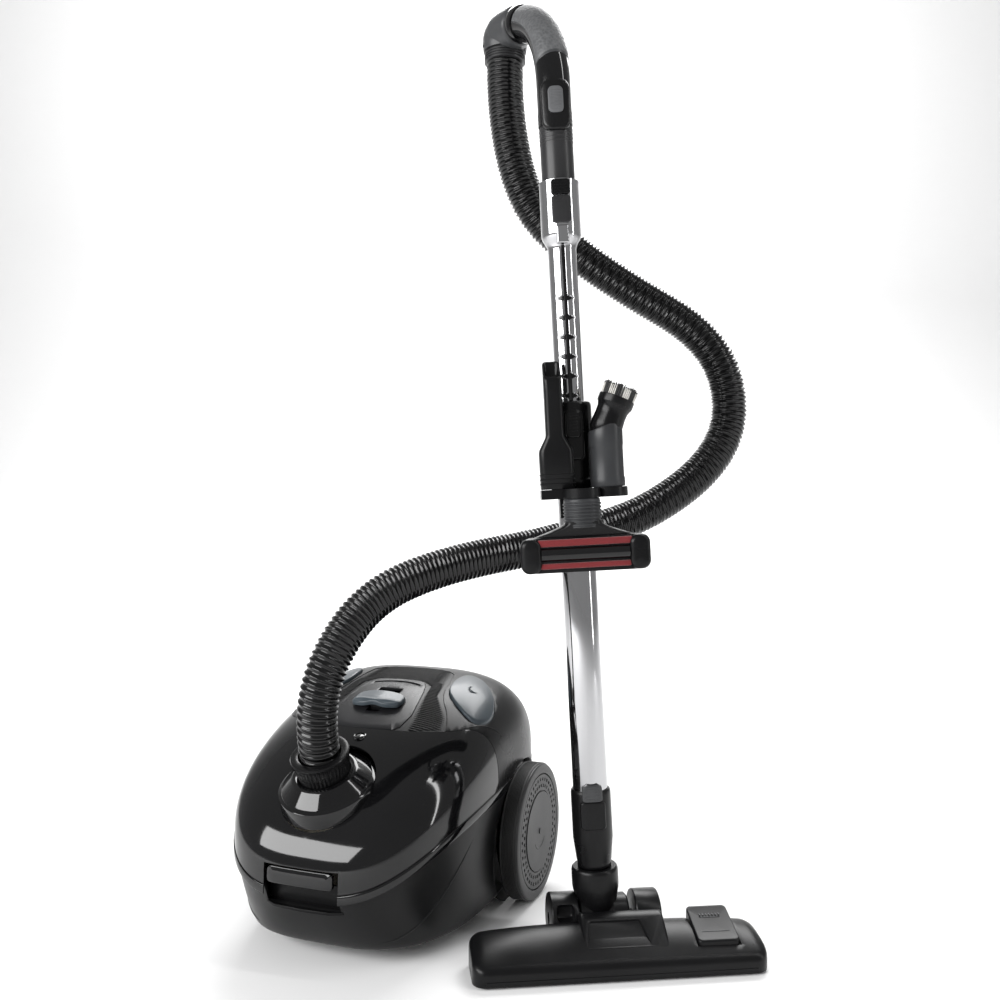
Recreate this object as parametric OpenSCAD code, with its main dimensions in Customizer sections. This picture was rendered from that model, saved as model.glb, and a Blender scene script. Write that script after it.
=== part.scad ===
// Canister vacuum cleaner: canister, corrugated hose, bent handle, telescopic wand,
// clip-on accessories and a combination floor nozzle. Millimetres, floor at z = 0.

/* [Canister] */
// overall width of the body at the seam
body_width = 266; // [250:1:280]
// distance from the axle line forward to the nose
nose_reach = 258; // [240:1:280]
// distance from the axle line back to the tail
tail_reach = 112; // [104:1:124]
// height of the highest point of the body
body_top = 250; // [238:1:262]
// gap between the underside and the floor
floor_gap = 16; // [14:1:20]
// seam height at the nose
seam_front = 80; // [74:1:86]
// wall thickness of the moulded shells
wall = 3; // [2.4:0.2:3.6]

/* [Running gear] */
// diameter of the rear wheels
wheel_d = 150; // [140:1:156]
// width of a rear wheel
wheel_w = 24; // [20:1:26]
// diameter of the rear axle stubs
axle_d = 8; // [6:1:10]
// diameter of the front caster roller
caster_d = 34; // [30:1:36]

/* [Hose] */
// outside diameter of the hose
hose_d = 40; // [34:1:42]
// outside diameter of the hose cuff
cuff_d = 52; // [48:1:56]
// length of the hose cuff
cuff_len = 34; // [30:1:38]

/* [Wand] */
// outside diameter of the lower tube
outer_tube_d = 35; // [33:0.5:37]
// outside diameter of the upper tube
inner_tube_d = 28.5; // [27:0.5:29.5]
// wall thickness of the steel tubes
tube_wall = 1; // [0.8:0.1:1.2]
// outside diameter of the flared socket and the neck socket
socket_d = 40; // [39:0.5:43]
// spacing of the telescopic stops
stop_pitch = 19.4; // [18:0.2:20]

/* [Accessories] */
// outside diameter of the dusting brush stem
brush_stem_d = 34; // [30:1:35]
// outside diameter of the upholstery tool neck
upholstery_neck_d = 36; // [32:1:36]
// width of the upholstery tool
upholstery_w = 124; // [104:1:136]

/* [Floor nozzle] */
// width of the floor nozzle
nozzle_w = 276; // [250:1:300]
// height of the nozzle bar
nozzle_h = 36; // [33:1:38]
// width of the nozzle pedal
nozzle_pedal_w = 40; // [34:1:46]

/* [Hidden] */
$fn = 64;

// where the assembly's own origin sits, measured from the axle centre on the floor
origin_x = 130;
origin_y = -73;

// canister envelope
half_w = body_width / 2;
mid_y = -30;
nose_len = nose_reach + mid_y;
tail_len = tail_reach - mid_y;
foot_nose_in = 38;
foot_tail_in = 14;
foot_side_in = 11;
seam_rise = 68;
seam_run = 78;
crown_y = 10;
crown_drop_front = 92;
crown_drop_rear = 50;
seam_power = 3;
foot_power = 3.2;
dome_power = 3.2;
around = 56;
skin_rings = 9;
foot_rings = 6;
lid_gap = 0.5;
split_gap = 1;

// inlet, measured along its own axis
inlet_y = -205;
inlet_z = 168;
inlet_tilt = 24;
cone_d = 98;
cone_h = 14;
cuff_fit = 0.08;

// wheels
wheel_out = 150;
wheel_in = wheel_out - wheel_w;
pocket_gap = 4;
wheel_fit = 0.05;
rim_d = wheel_d - 22;
caster_y = -160;
caster_well_d = 62;
caster_well_top = 50;
caster_pin_d = 10;

// wand frame
wand_x = 245.9;
wand_y = -92.1;
view_turn = 21;
wand_lean = 3.05;
socket_top = 766;
socket_low = 714;
flare_low = 700;
handle_tube_d = 33;
handle_split = 823;
inner_tube_low = 400;
collar_top = 548;
collar_low = 461.3;
collar_d = 42;
collar_lip = 28;
collar_fit = 0.08;
outer_tube_low = 118;
outer_tube_top = collar_top - collar_lip;
neck_top = 160;
neck_low = 82;
plate_low = 452;
plate_h = 9.3;
brush_x = 31;
brush_y = -24.5;
crevice_x = -19;
crevice_y = -33;
uph_x = 3;
uph_y = -44;
peg_fit = 0.1;
stop_first = 553.4;
stop_count = 6;

// floor nozzle frame
nozzle_turn = 27.6;
nozzle_x = 249.6;
nozzle_y = -90.7;
nozzle_mid = 3;
nozzle_front = -76;
nozzle_back = -20;
hinge_z = 30;
barrel_d = 44;
barrel_w = 50;
ear_w = 18;
ear_d = 50;
pedal_x = 96;
sole_low = 3;
roller_d = 22;
roller_y = 4;

// hose route, from the cuff to the swivel
hose_end = [124, -37, 926];
hose_sides = 12;
route = [
  [1, -225, 212], [4, -232, 237], [7, -235, 258], [11, -233, 278], [16, -227, 297],
  [23, -212, 320], [34, -188, 344], [51, -166, 361], [75, -138, 374], [103, -110, 384],
  [131, -84, 391], [160, -60, 397], [201, -28, 409], [254, 11, 428], [288, 36, 449],
  [318, 58, 475], [340, 74, 506], [350, 82, 540], [347, 81, 580], [334, 74, 614],
  [305, 58, 646], [252, 31, 680], [200, 4, 717], [158, -18, 756], [138, -30, 800],
  [128, -35, 850], [124, -37, 895]
];

// ---------- shared functions ----------
function signed_pow(v, e) = sign(v) * pow(abs(v), e);
function plan_point(a, w, nose, tail, n) = [
  w * signed_pow(cos(a), 2 / n),
  mid_y + (sin(a) < 0 ? nose : tail) * signed_pow(sin(a), 2 / n)
];
function seam_z(y) = seam_front + seam_rise * (1 - exp(-(y + nose_reach) / seam_run));
function crown_z(y) = y < crown_y
  ? body_top - crown_drop_front * pow((crown_y - y) / (nose_reach + crown_y), 1.6)
  : body_top - crown_drop_rear * pow((y - crown_y) / (tail_reach - crown_y), 2);
function ring_angle(i) = 360 * i / around;

// one point of the upper skin; r runs from 1 at the seam to 0 at the crown
function skin_point(i, r, inset, lift) =
  let (
    rim = plan_point(ring_angle(i), half_w - inset, nose_len - inset, tail_len - inset,
      seam_power),
    x = rim[0] * r,
    y = mid_y + (rim[1] - mid_y) * r,
    low = seam_z(rim[1]) + lift,
    high = crown_z(y) - inset + lift
  )
  [x, y, low + (high - low) * pow(1 - pow(r, dome_power), 1 / dome_power)];
function skin_radius(k) = sin(90 * (skin_rings - k) / skin_rings);

// one point of the lower skin; q runs from 0 at the foot to 1 at the seam
function foot_point(i, q, inset) =
  let (
    ease = pow(q, 0.7),
    round = q == 0 ? 5 : 0,
    w = half_w - inset - round - foot_side_in * (1 - ease),
    nose = nose_len - inset - round - foot_nose_in * (1 - ease),
    tail = tail_len - inset - round - foot_tail_in * (1 - ease),
    power = foot_power + (seam_power - foot_power) * ease,
    p = plan_point(ring_angle(i), w, nose, tail, power),
    rim = plan_point(ring_angle(i), half_w, nose_len, tail_len, seam_power),
    low = floor_gap + (inset > 0 ? wall : 0)
  )
  [p[0], p[1], low + (seam_z(rim[1]) + (inset > 0 ? 6 : 0) - low) * q];
function foot_level(k) = k == 0 ? 0 : 0.04 + 0.96 * (k - 1) / (foot_rings - 1);

function quad(a, b, c, d) = [[a, b, c], [a, c, d]];
function wrap(i) = i % around;
function band_faces(k) = [
  for (i = [0:around - 1])
    for (f = quad(k * around + i, k * around + wrap(i + 1),
      (k + 1) * around + wrap(i + 1), (k + 1) * around + i)) f
];
function flipped(faces) = [for (f = faces) [f[2], f[1], f[0]]];
function shifted(faces, n) = [for (f = faces) [for (v = f) v + n]];

// a cap across one ring, in strips between mirrored points
function strip_index(j) = j <= around / 4 ? around / 4 - j : around / 4 - j + around;
function mirror_index(j) = around / 4 + j;
function cap_faces(k) = [
  for (j = [0:around / 2 - 1])
    for (f = quad(k * around + strip_index(j), k * around + strip_index(j + 1),
      k * around + mirror_index(j + 1), k * around + mirror_index(j)))
      if (f[0] != f[1] && f[1] != f[2] && f[0] != f[2]) f
];

// ---------- canister solids ----------
module upper_shell(lift, thick) {
  outer = [
    for (k = [0:skin_rings - 1])
      for (i = [0:around - 1]) skin_point(i, skin_radius(k), 0, lift)
  ];
  inner = [
    for (k = [0:skin_rings - 1])
      for (i = [0:around - 1]) skin_point(i, skin_radius(k), thick, lift)
  ];
  count = len(outer);
  skin = [for (k = [0:skin_rings - 2]) for (f = band_faces(k)) f];
  last = (skin_rings - 1) * around;
  crown = [for (i = [0:around - 1]) [last + i, last + wrap(i + 1), 2 * count]];
  crown_in = [for (i = [0:around - 1]) [last + i, last + wrap(i + 1), count + 1]];
  rim = [
    for (i = [0:around - 1])
      for (f = quad(count + i, count + wrap(i + 1), wrap(i + 1), i)) f
  ];
  points = concat(outer, inner, [
    [0, mid_y, crown_z(mid_y) + lift],
    [0, mid_y, crown_z(mid_y) + lift - thick]
  ]);
  polyhedron(points, concat(
    flipped(skin), flipped(crown), shifted(skin, count), shifted(crown_in, count),
    flipped(rim)
  ), 12);
}

module lower_solid(inset) {
  points = [
    for (k = [0:foot_rings])
      for (i = [0:around - 1]) foot_point(i, foot_level(k), inset)
  ];
  skin = [for (k = [0:foot_rings - 1]) for (f = band_faces(k)) f];
  polyhedron(points, concat(
    flipped(skin), flipped(cap_faces(0)), cap_faces(foot_rings)
  ), 12);
}

module both_sides() {
  children();
  mirror([1, 0, 0]) children();
}

module wheel_bay(radius, from_x, to_x) {
  both_sides()
    translate([from_x, 0, wheel_d / 2])
      rotate([0, 90, 0])
        cylinder(r = radius, h = to_x - from_x);
}

module inlet_frame() {
  translate([0, inlet_y, inlet_z])
    rotate([inlet_tilt, 0, 0])
      children();
}

module can() {
  translate([-origin_x, -origin_y, 0]) children();
}

bay_wall = 119;
bay_r = wheel_d / 2 + pocket_gap;
bulkhead_y = -132;
filter_low = 56;
grille_w = 90;
grille_h = 46;
grille_z = 72;
grille_y = 97;
outlet_x = 76;
outlet_z = 92;
outlet_d = 22;
catch_w = 80;
catch_low = 85;
catch_h = 17;
catch_gap = 0.5;
finger_low = 64;
finger_deep = 18;
window_x = 6;
window_y = -151;
window_d = 10;

module base_shell() {
  color([0.07, 0.07, 0.08]) {
    difference() {
      lower_solid(0);
      difference() {
        lower_solid(wall);
        wheel_bay(bay_r + wall, bay_wall - wall, half_w);
        translate([0, caster_y, 0])
          cylinder(d = caster_well_d + 2 * wall, h = caster_well_top + wall);
        translate([0, caster_y, 0])
          cylinder(d = caster_pin_d + 10, h = caster_well_top + 10);
        translate([-90, bulkhead_y, 0])
          cube([180, wall, 110]);
        both_sides()
          translate([98, 0, wheel_d / 2])
            rotate([0, 90, 0])
              cylinder(d = axle_d + 12, h = 30);
      }
      wheel_bay(bay_r, bay_wall, half_w + 10);
      both_sides()
        translate([97, 0, wheel_d / 2])
          rotate([0, 90, 0])
            cylinder(d = axle_d, h = 60);
      translate([0, caster_y, floor_gap - 1])
        cylinder(d = caster_well_d, h = caster_well_top - floor_gap + 1);
      translate([0, caster_y, floor_gap])
        cylinder(d = caster_pin_d + 2 * wheel_fit, h = 60);
      translate([-50, bulkhead_y - 1, filter_low + 4])
        cube([100, wall + 2, 44]);
      translate([-grille_w / 2, grille_y, grille_z])
        cube([grille_w, 40, grille_h]);
      translate([outlet_x, 60, outlet_z])
        rotate([-90, 0, 0])
          cylinder(d = outlet_d, h = 60);
      translate([-catch_w / 2, -nose_reach - 10, finger_low])
        cube([catch_w, finger_deep + 10, 40]);
    }
    translate([-catch_w / 2 - 3, -nose_reach + finger_deep, finger_low - 3])
      cube([catch_w + 6, wall, catch_low - finger_low - 4]);
    intersection() {
      lower_solid(1);
      translate([-catch_w / 2 - 3, -nose_reach - 10, finger_low - 3])
        cube([catch_w + 6, finger_deep + 10 + wall, wall]);
    }
  }
}

deck_outline = [
  [-96, -150], [-86, -104], [-62, -70], [-56, -30], [-48, 2], [48, 2], [56, -30],
  [62, -70], [86, -104], [96, -150]
];
panel_outline = [[-52, -150], [-38, -52], [-22, -40], [22, -40], [38, -52], [52, -150]];
pedal_outline = [
  [60, -24], [66, -2], [88, -6], [106, -24], [114, -48], [112, -74], [100, -82], [80, -72], [64, -54]
];

lid_outline = [
  [-180, -77], [-half_w, -77], [-110, -96], [-95, -120], [-53, -139], [53, -139],
  [95, -120], [110, -96], [half_w, -77], [180, -77], [180, -400], [-180, -400]
];

module prism(points, grow) {
  translate([0, 0, 60])
    linear_extrude(260)
      offset(delta = grow)
        polygon(points);
}

module lid() {
  color([0.04, 0.04, 0.045])
    difference() {
      intersection() {
        upper_shell(lid_gap, wall);
        prism(lid_outline, -split_gap);
      }
      inlet_frame()
        translate([0, 0, -30])
          cylinder(d = cone_d, h = 80);
      translate([-catch_w / 2 - catch_gap, -nose_reach - 20, 0])
        cube([catch_w + 2 * catch_gap, 60, catch_low + catch_h + catch_gap]);
      translate([window_x, window_y, 150])
        cylinder(d = window_d, h = 100);
    }
}

module rear_cover() {
  color([0.08, 0.08, 0.09])
    difference() {
      upper_shell(0, wall);
      prism(lid_outline, 0);
      wheel_bay(bay_r, bay_wall, half_w + 10);
      prism(deck_outline, 0);
      both_sides() prism(pedal_outline, 0.6);
    }
}

module ribbed_deck() {
  color([0.05, 0.05, 0.055])
    difference() {
      intersection() {
        upper_shell(0, wall);
        prism(deck_outline, 0);
      }
      prism(lid_outline, 0);
      prism(panel_outline, 0);
      both_sides() prism(pedal_outline, 0.6);
      for (k = [0:10])
        translate([-30, -36 + 3.4 * k, 150])
          cube([60, 1.4, 120]);
    }
}

knob_w = 58;
knob_len = 28;
knob_y = -101;
knob_travel = 8;

module center_panel() {
  color([0.16, 0.16, 0.17])
    difference() {
      intersection() {
        upper_shell(0, wall);
        prism(panel_outline, 0);
      }
      prism(lid_outline, 0);
      translate([-8, knob_y - 6, 150])
        cube([16, 12 + knob_travel + 6, 120]);
      translate([-26, -60, 150])
        cube([52, 6, 120]);
    }
}

module power_slider() {
  color([0.3, 0.34, 0.37]) {
    translate([0, knob_y, crown_z(knob_y) + 1.2])
      rotate([14, 0, 0])
        translate([-knob_w / 2, -knob_len / 2, 0])
          cube([knob_w, knob_len, 7]);
    translate([-7, knob_y - 5, crown_z(knob_y) - 8])
      cube([14, 10, 12]);
  }
}

module indicator_window() {
  color([0.02, 0.02, 0.02])
    translate([window_x, window_y, crown_z(window_y) - 9])
      cylinder(d = window_d, h = 8);
}

module inlet_cone() {
  color([0.03, 0.03, 0.03])
    inlet_frame()
      difference() {
        union() {
          translate([0, 0, -14])
            cylinder(d = cone_d, h = 17);
          translate([0, 0, 2])
            cylinder(d1 = cone_d, d2 = cuff_d + 10, h = cone_h);
        }
        translate([0, 0, -20])
          cylinder(d = cuff_d - 12, h = 60);
        translate([0, 0, -20])
          cylinder(d = cone_d - 8, h = 18);
        translate([0, 0, 4])
          cylinder(d = cuff_d + 2 * cuff_fit, h = 60);
      }
}

module hose_cuff() {
  color([0.06, 0.06, 0.06])
    inlet_frame()
      difference() {
        translate([0, 0, 4.3])
          cylinder(d = cuff_d, h = cuff_len);
        translate([0, 0, 4])
          cylinder(d = hose_d - 8, h = cuff_len + 10);
        for (k = [0:35])
          rotate([0, 0, 10 * k])
            translate([cuff_d / 2, 0, 20])
              cylinder(d = 1.6, h = cuff_len - 8, $fn = 12);
      }
}

module lid_catch() {
  color([0.06, 0.06, 0.06])
    intersection() {
      upper_shell(lid_gap, wall + 1);
      translate([-catch_w / 2, -nose_reach - 20, 0])
        cube([catch_w, 60, catch_low + catch_h]);
    }
}

pedal_lift = 4;

module pedal_shape() {
  difference() {
    intersection() {
      upper_shell(pedal_lift, wall + 3);
      prism(pedal_outline, 0);
    }
  }
  translate([80, -22, 190])
    cylinder(d = 10, h = 48);
}

module power_pedal() {
  color([0.3, 0.34, 0.37]) pedal_shape();
}

module rewind_pedal() {
  color([0.3, 0.34, 0.37]) mirror([1, 0, 0]) pedal_shape();
}

module exhaust_grille() {
  color([0.05, 0.05, 0.05])
    difference() {
      translate([-grille_w / 2, grille_y, grille_z])
        cube([grille_w, 5, grille_h]);
      for (k = [0:5])
        translate([-grille_w / 2 + 5, grille_y - 1, grille_z + 5 + 7.4 * k])
          cube([grille_w - 10, 7, 3.6]);
    }
}

module exhaust_filter() {
  color([0.85, 0.85, 0.82])
    translate([-grille_w / 2 + 3, grille_y - 10, grille_z + 2])
      cube([grille_w - 6, 10, grille_h - 4]);
}

module cord_outlet() {
  color([0.05, 0.05, 0.05])
    translate([outlet_x, 68, outlet_z])
      rotate([-90, 0, 0])
        difference() {
          cylinder(d = outlet_d, h = 26);
          translate([0, 0, -1])
            cylinder(d = 9, h = 40);
        }
}

bag_low = 62;
bag_top = 126;
bag_half = 64;
bag_front = -200;
bag_deep = 60;
bag_hole_y = -176;
holder_half = 76;
floor_in = floor_gap + wall;

module dust_bag() {
  color([0.9, 0.88, 0.82])
    difference() {
      translate([-bag_half, bag_front, bag_low])
        cube([2 * bag_half, bag_deep, bag_top - bag_low]);
      translate([0, bag_hole_y, bag_low + 20])
        cylinder(d = 46, h = 80);
    }
}

module bag_holder() {
  color([0.5, 0.5, 0.5])
    difference() {
      union() {
        translate([-holder_half, bag_front + 4, bag_top + 0.4])
          cube([2 * holder_half, bag_deep - 8, 4]);
        both_sides()
          translate([holder_half - 8, bag_front + 28, floor_in])
            cube([8, 22, bag_top + 4.4 - floor_in]);
      }
      translate([0, bag_hole_y, bag_top - 2])
        cylinder(d = 38, h = 20);
    }
}

module motor_filter() {
  color([0.8, 0.8, 0.78])
    translate([-56, bulkhead_y + wall, filter_low])
      cube([112, 8, 52]);
}

motor_x = -46;
motor_z = 92;
motor_d = 124;
motor_front = -98;
shaft_d = 10;

module motor_housing() {
  color([0.22, 0.22, 0.23])
    difference() {
      union() {
        translate([motor_x, motor_front, motor_z])
          rotate([-90, 0, 0])
            cylinder(d = motor_d, h = 36);
        translate([motor_x, motor_front + 36, motor_z])
          rotate([-90, 0, 0])
            cylinder(d = motor_d - 34, h = 60);
        translate([motor_x - 34, motor_front, floor_in])
          cube([68, 90, motor_z - floor_in - 40]);
      }
      translate([motor_x, motor_front - 1, motor_z])
        rotate([-90, 0, 0])
          cylinder(d = motor_d - 8, h = 33);
      translate([motor_x, motor_front, motor_z])
        rotate([-90, 0, 0])
          cylinder(d = shaft_d + 2 * wheel_fit, h = 80);
    }
}

module motor_fan() {
  color([0.7, 0.7, 0.72])
    translate([motor_x, motor_front + 2, motor_z])
      rotate([-90, 0, 0]) {
        cylinder(d = 30, h = 28);
        cylinder(d = shaft_d, h = 76);
        translate([0, 0, 22])
          cylinder(d = 108, h = 3);
        for (k = [0:8])
          rotate([0, 0, 40 * k])
            translate([12, -1, 2])
              cube([40, 2, 21]);
      }
}

reel_x = 34;
reel_y = -6;
reel_w = 54;
reel_z = 96;
reel_d = 132;
spindle_d = 14;

module cord_reel() {
  color([0.35, 0.35, 0.36])
    translate([reel_x, reel_y, reel_z])
      rotate([0, 90, 0])
        difference() {
          union() {
            cylinder(d = reel_d, h = 3);
            translate([0, 0, reel_w - 3])
              cylinder(d = reel_d, h = 3);
            cylinder(d = 100, h = reel_w);
          }
          translate([0, 0, -1])
            cylinder(d = spindle_d + 2 * wheel_fit, h = reel_w + 2);
          translate([0, 0, -1])
            cylinder(d = 60, h = 20);
        }
}

module reel_bracket() {
  color([0.2, 0.2, 0.21])
    difference() {
      union() {
        translate([reel_x - 6, reel_y - 16, floor_in])
          cube([4, 32, reel_z - floor_in + 16]);
        translate([reel_x - 6, reel_y, reel_z])
          rotate([0, 90, 0])
            cylinder(d = spindle_d, h = reel_w + 6);
        translate([reel_x - 20, reel_y - 16, floor_in])
          cube([18, 32, 4]);
      }
      translate([reel_x - 13, reel_y, floor_in - 1])
        cylinder(d = 5, h = 8);
    }
}

module wheel_solid() {
  difference() {
    union() {
      cylinder(d = rim_d, h = wheel_w - 2);
      cylinder(d = 26, h = wheel_w - 1);
    }
    translate([0, 0, wheel_w - 4])
      difference() {
        cylinder(d = rim_d - 8, h = 5);
        translate([0, 0, -1])
          cylinder(d = rim_d - 32, h = 7);
      }
    translate([0, 0, -1])
      cylinder(d = axle_d + 2 * wheel_fit, h = wheel_w - 3);
    translate([0, 0, -1])
      difference() {
        cylinder(d = rim_d - 10, h = wheel_w - 10);
        translate([0, 0, -1])
          cylinder(d = axle_d + 12, h = wheel_w);
      }
    for (k = [0:35])
      rotate([0, 0, 10 * k])
        translate([rim_d / 2 - 11, -1, 2])
          cube([3.4, 2, wheel_w + 1]);
  }
}

module tyre_solid() {
  difference() {
    rotate_extrude($fn = 96)
      polygon([
        [rim_d / 2, 0], [wheel_d / 2 - 3, 0], [wheel_d / 2, 3],
        [wheel_d / 2, wheel_w - 5], [wheel_d / 2 - 4, wheel_w], [rim_d / 2, wheel_w]
      ]);
  }
}

module wheel_place() {
  translate([wheel_in, 0, wheel_d / 2])
    rotate([0, 90, 0])
      children();
}

module wheel_right() {
  color([0.2, 0.2, 0.21]) wheel_place() wheel_solid();
}

module wheel_left() {
  color([0.2, 0.2, 0.21]) mirror([1, 0, 0]) wheel_place() wheel_solid();
}

module tyre_right() {
  color([0.1, 0.1, 0.1]) wheel_place() tyre_solid();
}

module tyre_left() {
  color([0.1, 0.1, 0.1]) mirror([1, 0, 0]) wheel_place() tyre_solid();
}

module axle_solid() {
  translate([97, 0, wheel_d / 2])
    rotate([0, 90, 0])
      cylinder(d = axle_d, h = wheel_out - 97 - 5);
}

module axle_right() {
  color([0.7, 0.7, 0.72]) axle_solid();
}

module axle_left() {
  color([0.7, 0.7, 0.72]) mirror([1, 0, 0]) axle_solid();
}

caster_z = caster_d / 2;
caster_w = 18;
fork_y = caster_y + 6;

module caster_fork() {
  color([0.12, 0.12, 0.12])
    difference() {
      union() {
        translate([0, caster_y, caster_well_top - 6])
          cylinder(d = 50, h = 5);
        translate([0, caster_y, caster_well_top - 6])
          cylinder(d = caster_pin_d, h = 14);
        both_sides()
          translate([caster_w / 2 + 0.6, fork_y - 6, caster_z - 6])
            cube([4, 12, caster_well_top - caster_z]);
      }
      translate([-30, fork_y, caster_z])
        rotate([0, 90, 0])
          cylinder(d = 4, h = 60);
    }
}

module caster_wheel() {
  color([0.15, 0.15, 0.15])
    translate([-caster_w / 2, fork_y, caster_z])
      rotate([0, 90, 0])
        difference() {
          cylinder(d = caster_d, h = caster_w);
          translate([0, 0, -1])
            cylinder(d = 4.1, h = caster_w + 2);
        }
}

module caster_axle() {
  color([0.7, 0.7, 0.72])
    translate([-caster_w / 2 - 4.6, fork_y, caster_z])
      rotate([0, 90, 0])
        cylinder(d = 4, h = caster_w + 9.2);
}

// ---------- swept shapes ----------
function unit(v) = v / norm(v);
function path_dir(p, k) = unit(p[min(k + 1, len(p) - 1)] - p[max(k - 1, 0)]);
function frame_step(u, d) = unit(u - (u * d) * d);
function frames(p, dirs, k, u) = k == len(p)
  ? []
  : concat([frame_step(u, dirs[k])], frames(p, dirs, k + 1, frame_step(u, dirs[k])));

module sweep(path, dirs, section, first_u) {
  sides = len(section);
  us = frames(path, dirs, 0, first_u);
  points = [
    for (k = [0:len(path) - 1])
      for (s = section)
        path[k] + s[0] * us[k] + s[1] * cross(dirs[k], us[k])
  ];
  faces = [
    for (k = [0:len(path) - 2])
      for (i = [0:sides - 1])
        for (f = quad(k * sides + i, k * sides + (i + 1) % sides,
          (k + 1) * sides + (i + 1) % sides, (k + 1) * sides + i)) f
  ];
  last = (len(path) - 1) * sides;
  caps = [
    for (i = [1:sides - 2]) [0, i + 1, i],
    for (i = [1:sides - 2]) [last, last + i, last + i + 1]
  ];
  polyhedron(points, flipped(concat(faces, caps)), 12);
}

function disc(r, n) = [for (i = [0:n - 1]) [r * cos(360 * i / n), r * sin(360 * i / n)]];

inlet_up = [0, -sin(inlet_tilt), cos(inlet_tilt)];
cuff_mouth = [0, inlet_y, inlet_z] + inlet_up * (cuff_len + 4.6);
hose_path = concat([cuff_mouth], route, [hose_end]);

module hose() {
  dirs = [
    for (k = [0:len(hose_path) - 1])
      k == 0 ? inlet_up : k == len(hose_path) - 1 ? [0, 0, 1] : path_dir(hose_path, k)
  ];
  color([0.05, 0.05, 0.05])
    sweep(hose_path, dirs, disc(hose_d / 2, hose_sides), [1, 0, 0]);
}

module swivel_ring() {
  color([0.05, 0.05, 0.05])
    translate(hose_end)
      difference() {
        cylinder(d = hose_d + 5, h = 12);
        translate([0, 0, -1])
          cylinder(d = hose_d - 8, h = 20);
        for (k = [0:23])
          rotate([0, 0, 15 * k])
            translate([hose_d / 2 + 2.5, 0, 2])
              cylinder(d = 1.6, h = 8, $fn = 12);
      }
}

module swivel_dome() {
  color([0.45, 0.47, 0.48])
    translate(hose_end + [0, 0, 12.1])
      difference() {
        union() {
          cylinder(d = hose_d + 6, h = 12);
          translate([0, 0, 12])
            cylinder(d1 = hose_d + 6, d2 = hose_d - 14, h = 12);
        }
        translate([0, 0, -1])
          cylinder(d = hose_d - 10, h = 22);
      }
}

function turn_z(p, a) = [
  p[0] * cos(a) - p[1] * sin(a), p[0] * sin(a) + p[1] * cos(a), p[2]
];
function lean_y(p, a) = [
  p[0] * cos(a) - p[2] * sin(a), p[1], p[0] * sin(a) + p[2] * cos(a)
];
function wand_point(p) = [wand_x, wand_y, 0] + turn_z(lean_y(p, wand_lean), view_turn);
function wand_vector(p) = turn_z(lean_y(p, wand_lean), view_turn);
function bezier(a, b, c, d, t) =
  pow(1 - t, 3) * a + 3 * pow(1 - t, 2) * t * b + 3 * (1 - t) * t * t * c + t * t * t * d;

arch_low = 868;
arch_rise = 88;
arch_steps = 14;
arch_start = wand_point([0, 0, arch_low]);
arch_end = hose_end + [0, 0, 26];
arch_lead = wand_vector([0, 0, arch_rise]);
arch_path = concat(
  [wand_point([0, 0, handle_split])],
  [
    for (k = [0:arch_steps])
      bezier(arch_start, arch_start + arch_lead, arch_end + [10, -8, 18], arch_end,
        0.92 * k / arch_steps)
  ]
);
arch_dirs = [
  for (k = [0:len(arch_path) - 1])
    k == 0 ? wand_vector([0, 0, 1]) : path_dir(arch_path, k)
];
arch_side = wand_vector([1, 0, 0]);
grip_r = 17;

module handle_body() {
  color([0.06, 0.06, 0.06])
    difference() {
      sweep(arch_path, arch_dirs, disc(grip_r, 20), arch_side);
      translate(hose_end + [0, 0, 0])
        cylinder(d = hose_d + 6.6, h = 37);
    }
}

function crescent(r0, r1, a0, a1, n) = concat(
  [for (i = [0:n]) let (a = a0 + (a1 - a0) * i / n) [r1 * cos(a), r1 * sin(a)]],
  [for (i = [0:n]) let (a = a1 - (a1 - a0) * i / n) [r0 * cos(a), r0 * sin(a)]]
);

grip_first = 6;
grip_last = 11;

module grip_insert() {
  path = [for (k = [grip_first:grip_last]) arch_path[k]];
  dirs = [for (k = [grip_first:grip_last]) arch_dirs[k]];
  us = frames(arch_path, arch_dirs, 0, arch_side);
  color([0.3, 0.31, 0.32])
    sweep(path, dirs, crescent(grip_r + 0.4, grip_r + 2.4, -120, 10, 12),
      us[grip_first]);
}

module wand() {
  translate([wand_x, wand_y, 0])
    rotate([0, 0, view_turn])
      rotate([0, -wand_lean, 0])
        children();
}

slider_low = 826;
slider_h = 36;

module slider_housing() {
  color([0.07, 0.07, 0.07])
    wand()
      difference() {
        translate([-14, -grip_r - 6, slider_low])
          cube([28, 12, slider_h]);
        translate([0, 0, slider_low - 1])
          cylinder(r = grip_r + 0.02, h = slider_h + 2);
        translate([-8.5, -grip_r - 7, slider_low + 5])
          cube([17, 3.6, slider_h - 8]);
      }
}

module air_slider() {
  color([0.4, 0.41, 0.42])
    wand()
      translate([-8, -grip_r - 6.6, slider_low + 11])
        cube([16, 2.8, 21]);
}

module handle_tube() {
  color([0.14, 0.14, 0.15])
    wand()
      difference() {
        union() {
          translate([0, 0, socket_low + 4])
            cylinder(d = handle_tube_d, h = handle_split - socket_low - 4.3);
          translate([0, 0, handle_split - 14])
            cylinder(d = handle_tube_d + 2, h = 4);
        }
        translate([0, 0, socket_low])
          cylinder(d = handle_tube_d - 5, h = 200);
      }
}

button_w = 20;
button_h = 42;

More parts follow.
